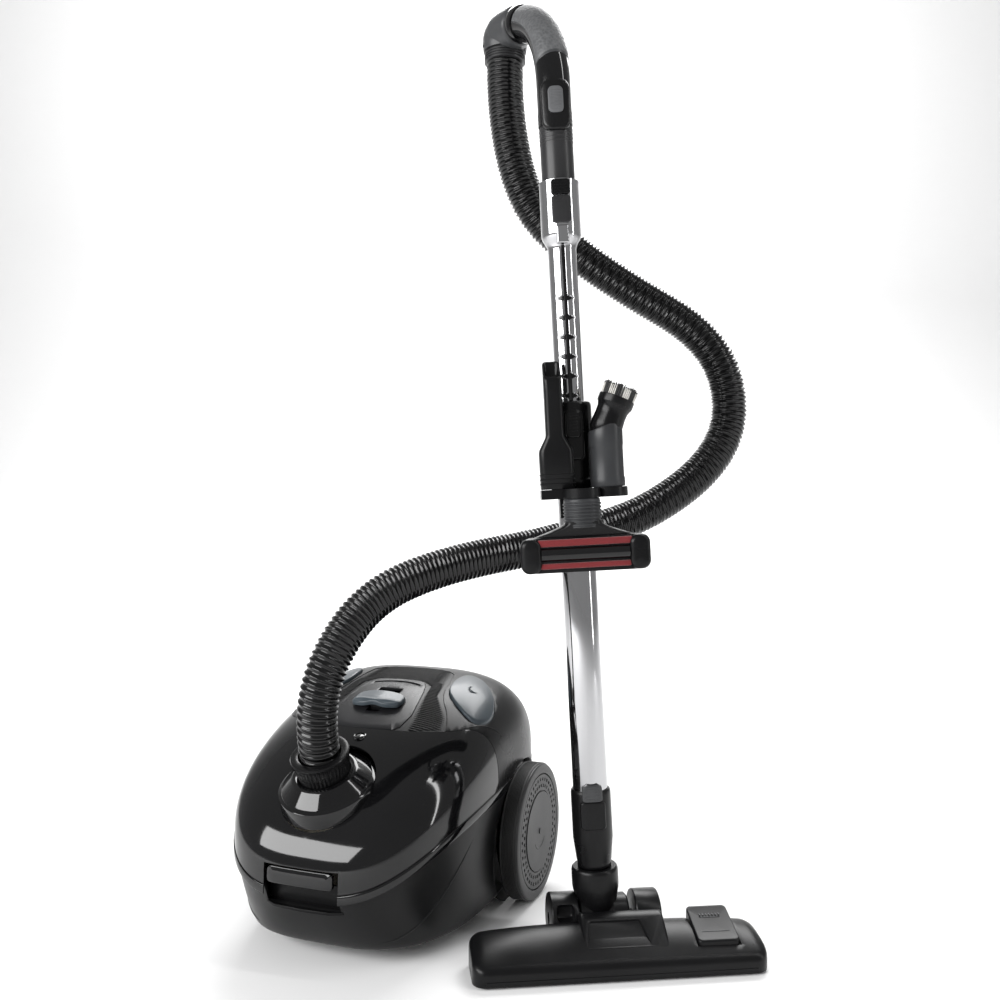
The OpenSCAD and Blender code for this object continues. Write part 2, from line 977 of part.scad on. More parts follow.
module inner_tube() {
  color([0.75, 0.75, 0.76])
    wand()
      difference() {
        union() {
          translate([0, 0, inner_tube_low])
            cylinder(d = inner_tube_d, h = flare_low - inner_tube_low);
          translate([0, 0, flare_low])
            cylinder(d1 = inner_tube_d, d2 = socket_d, h = socket_low - flare_low);
          translate([0, 0, socket_low])
            cylinder(d = socket_d, h = socket_top - socket_low);
        }
        translate([0, 0, inner_tube_low - 1])
          cylinder(d = inner_tube_d - 2 * tube_wall, h = 400);
        translate([0, 0, socket_low + 4])
          cylinder(d = socket_d - 2 * tube_wall, h = 100);
        translate([-button_w / 2 - 0.5, -30, socket_top - button_h + 2])
          cube([button_w + 1, 20, button_h]);
        for (k = [0:stop_count - 1])
          translate([-6, -inner_tube_d / 2 - 2, stop_first + stop_pitch * k])
            rotate([0, 90, 0])
              cylinder(d = 6, h = 12);
      }
}

module button_solid(top) {
  translate([-button_w / 2, -socket_d / 2 - 4.5, top - button_h + 2.5])
    cube([button_w, 6, button_h - 1]);
}

module socket_button() {
  color([0.05, 0.05, 0.05]) wand() button_solid(socket_top);
}

module outer_tube() {
  color([0.75, 0.75, 0.76])
    wand()
      difference() {
        translate([0, 0, outer_tube_low])
          cylinder(d = outer_tube_d, h = outer_tube_top - outer_tube_low);
        translate([0, 0, outer_tube_low - 1])
          cylinder(d = outer_tube_d - 2 * tube_wall, h = 500);
      }
}

module telescope_collar() {
  color([0.05, 0.05, 0.05])
    wand()
      difference() {
        translate([0, 0, collar_low])
          cylinder(d = collar_d, h = collar_top - collar_low);
        translate([0, 0, collar_low - 1])
          cylinder(d = outer_tube_d, h = outer_tube_top - collar_low + 1);
        translate([0, 0, collar_low])
          cylinder(d = inner_tube_d + 2 * collar_fit, h = 120);
        translate([-8.5, -collar_d / 2 - 2, collar_top - 46])
          cube([17, 5, 40]);
      }
}

module telescope_slider() {
  color([0.08, 0.08, 0.08])
    wand()
      translate([-8, -collar_d / 2 - 1, collar_top - 36])
        cube([16, 3.4, 26]);
}

crevice_base_w = 33;
crevice_base_d = 22;
crevice_w = 18;
crevice_low = plate_low + plate_h;
crevice_shoulder = 505;
crevice_top = 588;
peg_h = 24;

module accessory_holder() {
  color([0.06, 0.06, 0.06])
    wand()
      difference() {
        union() {
          translate([0, 0, plate_low])
            linear_extrude(plate_h) {
              circle(d = collar_d + 2);
              translate([brush_x, brush_y])
                circle(d = brush_stem_d + 4);
              translate([crevice_x - crevice_base_w / 2, crevice_y - crevice_base_d / 2])
                square([crevice_base_w + 14, crevice_base_d + 12]);
              translate([uph_x, uph_y])
                circle(d = upholstery_neck_d);
            }
          translate([brush_x, brush_y, plate_low])
            cylinder(d = brush_stem_d - 6, h = plate_h + peg_h);
          translate([crevice_x, crevice_y, plate_low])
            cylinder(d = 12, h = plate_h + peg_h);
          translate([uph_x, uph_y, plate_low - peg_h])
            cylinder(d = upholstery_neck_d - 6, h = peg_h + 1);
          translate([-17, -26, plate_low - 19])
            cube([8, 8, 20]);
        }
        translate([0, 0, plate_low - 30])
          cylinder(d = outer_tube_d, h = 100);
      }
}

module crevice_tool() {
  color([0.2, 0.2, 0.21])
    wand()
      difference() {
        union() {
          translate([crevice_x - crevice_base_w / 2, crevice_y - crevice_base_d / 2,
            crevice_low + 0.2])
            cube([crevice_base_w, crevice_base_d, crevice_shoulder - crevice_low - 0.2]);
          translate([crevice_x - crevice_w / 2, crevice_y - crevice_base_d / 2,
            crevice_shoulder - 1])
            cube([crevice_w, crevice_base_d, crevice_top - crevice_shoulder + 1]);
        }
        translate([crevice_x - 20, crevice_y - crevice_base_d / 2 - 1, crevice_top - 24])
          rotate([34, 0, 0])
            translate([0, -20, 0])
              cube([40, 80, 80]);
        translate([crevice_x, crevice_y, crevice_low])
          cylinder(d = 12 + 2 * peg_fit, h = 200);
      }
}

brush_low = plate_low + plate_h;
brush_split = 522;
brush_tilt = 22;

module brush_body() {
  color([0.22, 0.23, 0.24])
    wand()
      difference() {
        union() {
          translate([brush_x, brush_y, brush_low + 0.2])
            cylinder(d = brush_stem_d, h = brush_split - brush_low);
          translate([brush_x, brush_y, brush_split])
            rotate([0, brush_tilt, 0])
              translate([0, 0, -4])
                cylinder(d = brush_stem_d - 4, h = 34);
        }
        translate([brush_x, brush_y, brush_low - 1])
          cylinder(d = brush_stem_d - 6 + 2 * peg_fit, h = peg_h + 4);
        translate([brush_x, brush_y, brush_low])
          cylinder(d = brush_stem_d - 14, h = brush_split - brush_low + 1);
        translate([brush_x, brush_y, brush_split])
          rotate([0, brush_tilt, 0])
            cylinder(d = brush_stem_d - 12, h = 60);
      }
}

module brush_bristles() {
  color([0.15, 0.15, 0.15])
    wand()
      translate([brush_x, brush_y, brush_split])
        rotate([0, brush_tilt, 0])
          translate([0, 0, 30])
            difference() {
              cylinder(d = brush_stem_d - 3, h = 16);
              translate([0, 0, -1])
                cylinder(d = brush_stem_d - 11, h = 40);
            }
}

uph_low = 379;
uph_top = 413;
uph_d = 34;

module upholstery_tool() {
  color([0.06, 0.06, 0.06])
    wand()
      difference() {
        union() {
          translate([uph_x - upholstery_w / 2, uph_y - uph_d / 2, uph_low])
            cube([upholstery_w, uph_d, uph_top - uph_low]);
          translate([uph_x, uph_y, uph_top - 1])
            cylinder(d = upholstery_neck_d, h = plate_low - uph_top + 0.8);
        }
        translate([uph_x, uph_y, uph_low + 10])
          cylinder(d = upholstery_neck_d - 6 + 2 * peg_fit, h = 100);
        translate([uph_x - upholstery_w / 2 + 12, uph_y - uph_d / 2 - 1, uph_low + 15])
          cube([upholstery_w - 24, 14, 10]);
      }
}

strip_h = 6;

module lint_strips() {
  color([0.75, 0.05, 0.08])
    wand()
      for (z = [uph_low + 4, uph_top - 4 - strip_h])
        translate([uph_x - upholstery_w / 2 + 16, uph_y - uph_d / 2 - 2, z])
          cube([upholstery_w - 32, 2, strip_h]);
}

module nozzle_neck() {
  color([0.05, 0.05, 0.05])
    wand()
      difference() {
        union() {
          translate([0, 0, neck_top - 50])
            cylinder(d = socket_d, h = 50);
          translate([0, 0, neck_low])
            cylinder(d1 = socket_d - 6, d2 = socket_d, h = neck_top - 50 - neck_low);
          translate([0, 0, neck_low - 14])
            cylinder(d = 30, h = 15);
        }
        translate([0, 0, outer_tube_low])
          cylinder(d = outer_tube_d, h = 100);
        translate([0, 0, neck_low - 20])
          cylinder(d = 25, h = 100);
        translate([-button_w / 2 - 0.5, -30, neck_top - button_h + 2])
          cube([button_w + 1, 11.6, button_h]);
      }
}

module neck_button() {
  color([0.05, 0.05, 0.05])
    wand()
      translate([-button_w / 2, -socket_d / 2 - 4.5, neck_top - button_h + 2.5])
        cube([button_w, 4.5, button_h - 1]);
}

module nozzle() {
  translate([nozzle_x, nozzle_y, 0])
    rotate([0, 0, nozzle_turn])
      children();
}

module neck_elbow() {
  color([0.05, 0.05, 0.05])
    difference() {
      union() {
        wand()
          translate([0, 0, hinge_z])
            cylinder(d = barrel_d, h = neck_low - 0.3 - hinge_z);
        nozzle()
          translate([-barrel_w / 2 - 1, 0, hinge_z])
            rotate([0, 90, 0])
              cylinder(d = barrel_d, h = barrel_w);
      }
      wand()
        translate([0, 0, neck_low - 16])
          cylinder(d = 30 + 2 * wheel_fit, h = 40);
      wand()
        translate([0, 0, hinge_z - 4])
          cylinder(d = 24, h = 60);
      nozzle()
        translate([-12, -40, hinge_z - 10])
          cube([24, 40, 16]);
      nozzle()
        for (side = [-1, 1])
          translate([-1 - 10 + side * (barrel_w / 2 + 10), 0, hinge_z])
            rotate([0, 90, 0])
              cylinder(d = 80, h = 20);
      nozzle()
        translate([-60, 0, hinge_z])
          rotate([0, 90, 0])
            cylinder(d = 12, h = 120);
    }
}

ear_in = barrel_w / 2 + 0.6;

module bar_profile() {
  polygon([
    [nozzle_front, sole_low + 2], [nozzle_front, 13], [-42, nozzle_h - 1],
    [-34, nozzle_h], [nozzle_back - 3, nozzle_h], [nozzle_back, nozzle_h - 6],
    [nozzle_back, sole_low + 2]
  ]);
}

module across(from_x, width) {
  translate([from_x, 0, 0])
    rotate([90, 0, 90])
      linear_extrude(width)
        children();
}

module nozzle_body() {
  color([0.05, 0.05, 0.05])
    nozzle()
      difference() {
        union() {
          across(nozzle_mid - nozzle_w / 2, nozzle_w) bar_profile();
          across(-1 - ear_in - ear_w, 2 * (ear_in + ear_w))
            polygon([
              [-60, sole_low + 2], [-60, 24], [-34, nozzle_h + 4], [-20, 44],
              [-8, 44], [-8, sole_low + 2]
            ]);
          for (x = [-1 - ear_in - ear_w, -1 + ear_in])
            translate([x, 0, hinge_z])
              rotate([0, 90, 0])
                cylinder(d = ear_d, h = ear_w);
        }
        translate([-1 - ear_in, 0, hinge_z])
          rotate([0, 90, 0])
            cylinder(d = barrel_d + 2, h = 2 * ear_in);
        across(nozzle_mid - nozzle_w / 2 + 4, nozzle_w - 8)
          polygon([
            [nozzle_front + 4, 0], [nozzle_front + 4, 11], [-42, nozzle_h - 7],
            [nozzle_back - 4, nozzle_h - 7], [nozzle_back - 4, 0]
          ]);
        across(-22, 42)
          polygon([[-40, 12], [-40, 28], [-10, 36], [-10, 22]]);
        translate([-1 - ear_in, -25, hinge_z])
          cube([2 * ear_in, 60, 60]);
        across(pedal_x - nozzle_pedal_w / 2 - 0.6, nozzle_pedal_w + 1.2)
          polygon([[-64, 13], [-64, 60], [10, 60], [10, 20], [-30, 20], [-46, 13]]);
        translate([-60, 0, hinge_z])
          rotate([0, 90, 0])
            cylinder(d = 12, h = 120);
        translate([-80, roller_y, roller_d / 2])
          rotate([0, 90, 0])
            cylinder(d = 5, h = 160);
        for (x = [-1 - ear_in - ear_w / 2, -1 + ear_in + ear_w / 2])
          translate([x - 6, roller_y, roller_d / 2])
            rotate([0, 90, 0])
              cylinder(d = roller_d + 3, h = 12);
        translate([-100, -60, -10])
          cube([200, 120, 10 + sole_low + 2]);
      }
}

module nozzle_sole() {
  color([0.5, 0.5, 0.52])
    nozzle()
      difference() {
        union() {
          translate([nozzle_mid - nozzle_w / 2 + 1, nozzle_front + 1, sole_low])
            cube([nozzle_w - 2, nozzle_back - nozzle_front - 2, 2]);
          for (x = [-96, -40, 40, 96])
            translate([nozzle_mid + x - 3, nozzle_front + 10, 0])
              cube([6, nozzle_back - nozzle_front - 20, sole_low]);
        }
        translate([nozzle_mid - 88, -56, -1])
          cube([42, 14, 10]);
        translate([nozzle_mid - 34, -56, -1])
          cube([68, 14, 10]);
        translate([nozzle_mid + 46, -56, -1])
          cube([42, 14, 10]);
        translate([nozzle_mid - 121, nozzle_front + 5, -1])
          cube([242, 5, 10]);
      }
}

module nozzle_bristles() {
  color([0.1, 0.1, 0.1])
    nozzle()
      translate([nozzle_mid - 120, nozzle_front + 5.5, 0.5])
        cube([240, 4, 7]);
}

module nozzle_pedal() {
  color([0.08, 0.08, 0.08])
    nozzle()
      across(pedal_x - nozzle_pedal_w / 2, nozzle_pedal_w)
        polygon([
          [-63, 24], [-63, 28], [-45, nozzle_h + 4], [-19, nozzle_h + 5],
          [-19, nozzle_h - 8], [-44, nozzle_h - 8], [-56, 22]
        ]);
}

module nozzle_wheels() {
  color([0.12, 0.12, 0.12])
    nozzle()
      for (x = [-1 - ear_in - ear_w / 2, -1 + ear_in + ear_w / 2])
        translate([x - 5, roller_y, roller_d / 2])
          rotate([0, 90, 0])
            difference() {
              cylinder(d = roller_d, h = 10);
              translate([0, 0, -1])
                cylinder(d = 5.1, h = 12);
            }
}

module nozzle_axles() {
  color([0.7, 0.7, 0.72])
    nozzle() {
      for (x = [-1 - ear_in - ear_w, -1 + ear_in])
        translate([x, roller_y, roller_d / 2])
          rotate([0, 90, 0])
            cylinder(d = 5, h = ear_w);
    }
}

can() base_shell();
can() lid();
can() rear_cover();
can() ribbed_deck();
can() center_panel();
can() power_slider();
can() indicator_window();
can() inlet_cone();
can() hose_cuff();
can() lid_catch();
can() power_pedal();
can() rewind_pedal();
can() exhaust_grille();
can() exhaust_filter();
can() cord_outlet();
can() dust_bag();
can() bag_holder();
can() motor_filter();
can() motor_housing();
can() motor_fan();
can() cord_reel();
can() reel_bracket();
can() wheel_left();
can() wheel_right();
can() tyre_left();
can() tyre_right();
can() axle_left();
can() axle_right();
can() caster_fork();
can() caster_wheel();
can() caster_axle();
can() hose();
can() swivel_ring();
can() swivel_dome();
can() handle_body();
can() grip_insert();
can() slider_housing();
can() air_slider();
can() handle_tube();
can() inner_tube();
can() socket_button();
can() outer_tube();
can() telescope_collar();
can() telescope_slider();
can() accessory_holder();
can() crevice_tool();
can() brush_body();
can() brush_bristles();
can() upholstery_tool();
can() lint_strips();
can() nozzle_neck();
can() neck_button();
can() neck_elbow();
can() nozzle_body();
can() nozzle_sole();
can() nozzle_bristles();
can() nozzle_pedal();
can() nozzle_wheels();
can() nozzle_axles();
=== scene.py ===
import math
import random

import bmesh
import bpy
from mathutils import Matrix, Vector


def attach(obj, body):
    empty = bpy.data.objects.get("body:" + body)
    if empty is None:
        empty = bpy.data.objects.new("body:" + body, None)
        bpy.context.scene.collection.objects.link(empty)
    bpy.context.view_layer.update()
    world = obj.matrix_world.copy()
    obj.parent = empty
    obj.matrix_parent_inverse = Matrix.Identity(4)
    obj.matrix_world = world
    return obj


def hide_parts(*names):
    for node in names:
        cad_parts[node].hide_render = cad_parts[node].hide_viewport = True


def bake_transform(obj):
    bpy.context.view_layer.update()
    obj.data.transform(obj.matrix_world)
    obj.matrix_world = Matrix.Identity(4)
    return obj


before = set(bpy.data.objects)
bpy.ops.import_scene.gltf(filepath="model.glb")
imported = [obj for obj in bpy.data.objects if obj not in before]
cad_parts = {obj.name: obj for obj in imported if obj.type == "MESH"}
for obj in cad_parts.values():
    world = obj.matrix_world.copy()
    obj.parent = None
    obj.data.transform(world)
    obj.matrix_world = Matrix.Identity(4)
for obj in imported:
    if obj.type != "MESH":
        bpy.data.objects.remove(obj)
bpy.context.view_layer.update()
mm = 0.001
random.seed(7)


def turned(degrees, axis):
    return Matrix.Rotation(math.radians(degrees), 4, axis)


def moved(x, y, z):
    return Matrix.Translation((x * mm, y * mm, z * mm))


# the same frames as the part's own source, in millimetres from the axle centre on the floor
canFrame = moved(-130, 73, 0)
wandFrame = canFrame @ moved(245.9, -92.1, 0) @ turned(21, "Z") @ turned(-3.05, "Y")
nozzleFrame = canFrame @ moved(249.6, -90.7, 0) @ turned(27.6, "Z")
noFrame = Matrix.Identity(4)

# mesh helpers


def smoothed(obj, sharpAngle=38):
    # soft shading everywhere but across real corners
    work = bmesh.new()
    work.from_mesh(obj.data)
    limit = math.radians(sharpAngle)
    for face in work.faces:
        face.smooth = True
    for edge in work.edges:
        edge.smooth = len(edge.link_faces) == 2 and edge.calc_face_angle(0) < limit
    work.to_mesh(obj.data)
    work.free()
    return obj


def meshObject(name, points, faces, place=noFrame, sharpAngle=38):
    mesh = bpy.data.meshes.new(name)
    mesh.from_pydata([place @ (Vector(p) * mm) for p in points], [], faces)
    mesh.validate()
    obj = bpy.data.objects.new(name, mesh)
    bpy.context.scene.collection.objects.link(obj)
    work = bmesh.new()
    work.from_mesh(mesh)
    bmesh.ops.remove_doubles(work, verts=work.verts, dist=1e-7)
    bmesh.ops.recalc_face_normals(work, faces=work.faces)
    work.to_mesh(mesh)
    work.free()
    return smoothed(obj, sharpAngle)


def loft(name, rings, place=noFrame, capStart=True, capEnd=True, loop=False, sharpAngle=38):
    # skins a list of equal rings of points
    points = [p for ring in rings for p in ring]
    n = len(rings[0])
    faces = []
    count = len(rings)
    for k in range(count if loop else count - 1):
        a, b = k * n, ((k + 1) % count) * n
        for i in range(n):
            j = (i + 1) % n
            faces.append((a + i, a + j, b + j, b + i))
    if not loop:
        if capStart:
            faces.append(tuple(reversed(range(n))))
        if capEnd:
            faces.append(tuple((count - 1) * n + i for i in range(n)))
    return meshObject(name, points, faces, place, sharpAngle)


def lathe(name, profile, place=noFrame, around=96, sharpAngle=38, closed=False):
    # turns (radius, height) pairs about the local Z axis
    rings = []
    for radius, height in profile:
        radius = max(radius, 0.001)
        rings.append([
            (radius * math.cos(2 * math.pi * i / around),
             radius * math.sin(2 * math.pi * i / around), height)
            for i in range(around)
        ])
    ends = not closed
    return loft(name, rings, place, ends, ends, closed, sharpAngle)


def roundBox(name, low, high, bevel, place=noFrame, segments=4):
    mesh = bpy.data.meshes.new(name)
    work = bmesh.new()
    bmesh.ops.create_cube(work, size=1)
    low, high = Vector(low), Vector(high)
    for vert in work.verts:
        vert.co = Vector([
            (low[i] + high[i]) / 2 + vert.co[i] * (high[i] - low[i]) for i in range(3)
        ])
    if bevel:
        bmesh.ops.bevel(work, geom=list(work.edges), offset=bevel, segments=segments,
                        profile=0.5, affect="EDGES", clamp_overlap=True)
    for vert in work.verts:
        vert.co = place @ (vert.co * mm)
    work.to_mesh(mesh)
    work.free()
    obj = bpy.data.objects.new(name, mesh)
    bpy.context.scene.collection.objects.link(obj)
    return smoothed(obj, 50)


def slab(name, outline, low, high, place=noFrame, bevel=0, segments=3):
    # an extruded outline, its rims rounded
    mesh = bpy.data.meshes.new(name)
    work = bmesh.new()
    lower = [work.verts.new((x, y, low)) for x, y in outline]
    face = work.faces.new(lower)
    made = bmesh.ops.extrude_face_region(work, geom=[face])
    for item in made["geom"]:
        if isinstance(item, bmesh.types.BMVert):
            item.co.z = high
    bmesh.ops.recalc_face_normals(work, faces=work.faces)
    if bevel:
        rims = [e for e in work.edges
                if abs(e.verts[0].co.z - e.verts[1].co.z) < 1e-6]
        bmesh.ops.bevel(work, geom=rims, offset=bevel, segments=segments, profile=0.5,
                        affect="EDGES", clamp_overlap=True)
    for vert in work.verts:
        vert.co = place @ (vert.co * mm)
    work.to_mesh(mesh)
    work.free()
    obj = bpy.data.objects.new(name, mesh)
    bpy.context.scene.collection.objects.link(obj)
    return smoothed(obj, 38)


def applied(obj):
    graph = bpy.context.evaluated_depsgraph_get()
    mesh = bpy.data.meshes.new_from_object(obj.evaluated_get(graph))
    obj.modifiers.clear()
    old = obj.data
    obj.data = mesh
    bpy.data.meshes.remove(old)
    return obj


def cut(obj, cutter, operation="DIFFERENCE", sharpAngle=38):
    modifier = obj.modifiers.new("cut", "BOOLEAN")
    modifier.operation = operation
    modifier.solver = "EXACT"
    modifier.object = cutter
    applied(obj)
    bpy.data.objects.remove(cutter)
    return smoothed(obj, sharpAngle)


def joined(name, *objs):
    work = bmesh.new()
    for obj in objs:
        work.from_mesh(obj.data)
    mesh = bpy.data.meshes.new(name)
    work.to_mesh(mesh)
    work.free()
    for obj in objs:
        bpy.data.objects.remove(obj)
    obj = bpy.data.objects.new(name, mesh)
    bpy.context.scene.collection.objects.link(obj)
    return obj


def softEdges(obj, width, segments=2, angle=40):
    modifier = obj.modifiers.new("soft edges", "BEVEL")
    modifier.width = width * mm
    modifier.segments = segments
    modifier.limit_method = "ANGLE"
    modifier.angle_limit = math.radians(angle)
    modifier.harden_normals = False
    applied(obj)
    return smoothed(obj, 45)


def piece(obj, body, finish, nodes=()):
    obj.data.materials.clear()
    obj.data.materials.append(finish)
    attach(obj, body)
    if nodes:
        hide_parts(*nodes)
    return obj


def dressed(node, finish):
    # a carried-over CAD node with a finish of its own
    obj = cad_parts[node]
    obj.data.materials.clear()
    obj.data.materials.append(finish)


def circle(radius, count=64, x=0, y=0):
    return [(x + radius * math.cos(2 * math.pi * i / count),
             y + radius * math.sin(2 * math.pi * i / count)) for i in range(count)]


def roundRect(width, height, radius, count=8, x=0, y=0):
    points = []
    for k, (cx, cy) in enumerate([(1, 1), (-1, 1), (-1, -1), (1, -1)]):
        for i in range(count + 1):
            a = math.radians(90 * k + 90 * i / count)
            points.append((x + cx * (width / 2 - radius) + radius * math.cos(a),
                           y + cy * (height / 2 - radius) + radius * math.sin(a)))
    return points


# finishes

finishes = {}


def nodesOf(name):
    material = bpy.data.materials.new(name)
    material.use_nodes = True
    tree = material.node_tree
    return material, tree, tree.nodes["Principled BSDF"]


def moulded(name, colour, rough, grainScale=900, grainDepth=0.03, roughSpread=0.08,
            shade=0.22, specular=0.28, coat=0, coatRough=0.05, metal=0, patchScale=14,
            scratch=0):
    # moulded plastic: grain in the surface, slow drift in shade and gloss
    material, tree, shader = nodesOf(name)
    nodes, links = tree.nodes, tree.links
    shader.inputs["Metallic"].default_value = metal
    shader.inputs["Specular IOR Level"].default_value = specular
    shader.inputs["Coat Weight"].default_value = coat
    shader.inputs["Coat Roughness"].default_value = coatRough
    spot = nodes.new("ShaderNodeTexCoord")
    patch = nodes.new("ShaderNodeTexNoise")
    patch.inputs["Scale"].default_value = patchScale
    patch.inputs["Detail"].default_value = 5
    links.new(spot.outputs["Object"], patch.inputs["Vector"])
    tint = nodes.new("ShaderNodeValToRGB")
    tint.color_ramp.elements[0].position = 0.3
    tint.color_ramp.elements[1].position = 0.7
    tint.color_ramp.elements[0].color = [c * (1 - shade) for c in colour] + [1]
    tint.color_ramp.elements[1].color = [min(1, c * (1 + shade)) for c in colour] + [1]
    links.new(patch.outputs["Fac"], tint.inputs["Fac"])
    links.new(tint.outputs["Color"], shader.inputs["Base Color"])
    grain = nodes.new("ShaderNodeTexNoise")
    grain.inputs["Scale"].default_value = grainScale
    grain.inputs["Detail"].default_value = 3
    links.new(spot.outputs["Object"], grain.inputs["Vector"])
    gloss = nodes.new("ShaderNodeMapRange")
    gloss.inputs["From Min"].default_value = 0.25
    gloss.inputs["From Max"].default_value = 0.75
    gloss.inputs["To Min"].default_value = max(0.02, rough - roughSpread)
    gloss.inputs["To Max"].default_value = min(1, rough + roughSpread)
    links.new(patch.outputs["Fac"], gloss.inputs["Value"])
    links.new(gloss.outputs["Result"], shader.inputs["Roughness"])
    bump = nodes.new("ShaderNodeBump")
    bump.inputs["Strength"].default_value = grainDepth
    bump.inputs["Distance"].default_value = 0.0006
    links.new(grain.outputs["Fac"], bump.inputs["Height"])
    links.new(bump.outputs["Normal"], shader.inputs["Normal"])
    if scratch:
        hair = nodes.new("ShaderNodeTexWave")
        hair.inputs["Scale"].default_value = 60
        hair.inputs["Distortion"].default_value = 18
        hair.inputs["Detail"].default_value = 4
        links.new(spot.outputs["Object"], hair.inputs["Vector"])
        second = nodes.new("ShaderNodeBump")
        second.inputs["Strength"].default_value = scratch
        second.inputs["Distance"].default_value = 0.0002
        links.new(hair.outputs["Fac"], second.inputs["Height"])
        links.new(bump.outputs["Normal"], second.inputs["Normal"])
        links.new(second.outputs["Normal"], shader.inputs["Normal"])
    finishes[name] = material
    return material


def stippled(name, colour, rough, cell=1500, depth=0.4):
    # rubber or plastic with a pebbled surface
    material, tree, shader = nodesOf(name)
    nodes, links = tree.nodes, tree.links
    spot = nodes.new("ShaderNodeTexCoord")
    cells = nodes.new("ShaderNodeTexVoronoi")
    cells.inputs["Scale"].default_value = cell
    links.new(spot.outputs["Object"], cells.inputs["Vector"])
    tint = nodes.new("ShaderNodeValToRGB")
    tint.color_ramp.elements[0].color = [c * 0.7 for c in colour] + [1]
    tint.color_ramp.elements[1].color = [min(1, c * 1.25) for c in colour] + [1]
    links.new(cells.outputs["Distance"], tint.inputs["Fac"])
    links.new(tint.outputs["Color"], shader.inputs["Base Color"])
    shader.inputs["Roughness"].default_value = rough
    bump = nodes.new("ShaderNodeBump")
    bump.inputs["Strength"].default_value = depth
    bump.inputs["Distance"].default_value = 0.0005
    bump.invert = True
    links.new(cells.outputs["Distance"], bump.inputs["Height"])
    links.new(bump.outputs["Normal"], shader.inputs["Normal"])
    finishes[name] = material
    return material


def plated(name, colour, rough, streak=0.02):
    # bright metal with faint drawing marks along its length
    material, tree, shader = nodesOf(name)
    nodes, links = tree.nodes, tree.links
    shader.inputs["Metallic"].default_value = 1
    spot = nodes.new("ShaderNodeTexCoord")
    stretch = nodes.new("ShaderNodeMapping")
    stretch.inputs["Scale"].default_value = (900, 900, 6)
    links.new(spot.outputs["Object"], stretch.inputs["Vector"])
    lines = nodes.new("ShaderNodeTexNoise")
    lines.inputs["Scale"].default_value = 1
    lines.inputs["Detail"].default_value = 4
    links.new(stretch.outputs["Vector"], lines.inputs["Vector"])
    tint = nodes.new("ShaderNodeValToRGB")
    tint.color_ramp.elements[0].color = [c * 0.93 for c in colour] + [1]
    tint.color_ramp.elements[1].color = list(colour) + [1]
    links.new(lines.outputs["Fac"], tint.inputs["Fac"])
    links.new(tint.outputs["Color"], shader.inputs["Base Color"])
    gloss = nodes.new("ShaderNodeMapRange")
    gloss.inputs["To Min"].default_value = rough
    gloss.inputs["To Max"].default_value = rough + 0.05
    links.new(lines.outputs["Fac"], gloss.inputs["Value"])
    links.new(gloss.outputs["Result"], shader.inputs["Roughness"])
    bump = nodes.new("ShaderNodeBump")
    bump.inputs["Strength"].default_value = streak
    bump.inputs["Distance"].default_value = 0.0002
    links.new(lines.outputs["Fac"], bump.inputs["Height"])
    links.new(bump.outputs["Normal"], shader.inputs["Normal"])
    finishes[name] = material
    return material


def woven(name, colour, rough, scale=1200, depth=0.5):
    # felt, paper and short-nap cloth
    material, tree, shader = nodesOf(name)
    nodes, links = tree.nodes, tree.links
    shader.inputs["Sheen Weight"].default_value = 0.3
    shader.inputs["Roughness"].default_value = rough
    spot = nodes.new("ShaderNodeTexCoord")
    fibre = nodes.new("ShaderNodeTexNoise")
    fibre.inputs["Scale"].default_value = scale
    fibre.inputs["Detail"].default_value = 6
    fibre.inputs["Distortion"].default_value = 1.5
    links.new(spot.outputs["Object"], fibre.inputs["Vector"])
    tint = nodes.new("ShaderNodeValToRGB")
    tint.color_ramp.elements[0].position = 0.3
    tint.color_ramp.elements[0].color = [c * 0.55 for c in colour] + [1]
    tint.color_ramp.elements[1].position = 0.7
    tint.color_ramp.elements[1].color = [min(1, c * 1.2) for c in colour] + [1]
    links.new(fibre.outputs["Fac"], tint.inputs["Fac"])
    links.new(tint.outputs["Color"], shader.inputs["Base Color"])
    bump = nodes.new("ShaderNodeBump")
    bump.inputs["Strength"].default_value = depth
    bump.inputs["Distance"].default_value = 0.0008
    links.new(fibre.outputs["Fac"], bump.inputs["Height"])
    links.new(bump.outputs["Normal"], shader.inputs["Normal"])
    finishes[name] = material
    return material


glossBlack = moulded("glossBlack", (0.003, 0.003, 0.0034), 0.08, grainScale=300,
                     grainDepth=0.006, roughSpread=0.03, specular=0.4, coat=0.12,
                     coatRough=0.03)
satinBlack = moulded("satinBlack", (0.006, 0.006, 0.0064), 0.36, grainDepth=0.10,
                     specular=0.2)
coverBlack = moulded("coverBlack", (0.006, 0.006, 0.0064), 0.3, grainDepth=0.06,
                     specular=0.16)
deckBlack = moulded("deckBlack", (0.0035, 0.0035, 0.0038), 0.33, grainDepth=0.05,
                    specular=0.14)
panelGrey = moulded("panelGrey", (0.011, 0.011, 0.012), 0.27, grainDepth=0.05, specular=0.2)
blueGrey = moulded("blueGrey", (0.04, 0.051, 0.06), 0.34, grainDepth=0.03, coat=0.15,
                   coatRough=0.12)
wheelGrey = moulded("wheelGrey", (0.028, 0.028, 0.029), 0.42, grainDepth=0.10)
tyreBlack = stippled("tyreBlack", (0.006, 0.006, 0.0063), 0.6, cell=1300, depth=0.12)
hoseBlack = moulded("hoseBlack", (0.0025, 0.0025, 0.0027), 0.18, grainScale=500,
                    grainDepth=0.015, roughSpread=0.03, specular=0.34, coat=0.06,
                    coatRough=0.08)
handleBlack = moulded("handleBlack", (0.0045, 0.0045, 0.0048), 0.22, grainDepth=0.02)
domeGrey = moulded("domeGrey", (0.045, 0.046, 0.048), 0.3, grainDepth=0.05)
tubeGrey = moulded("tubeGrey", (0.022, 0.022, 0.023), 0.3, grainDepth=0.05)
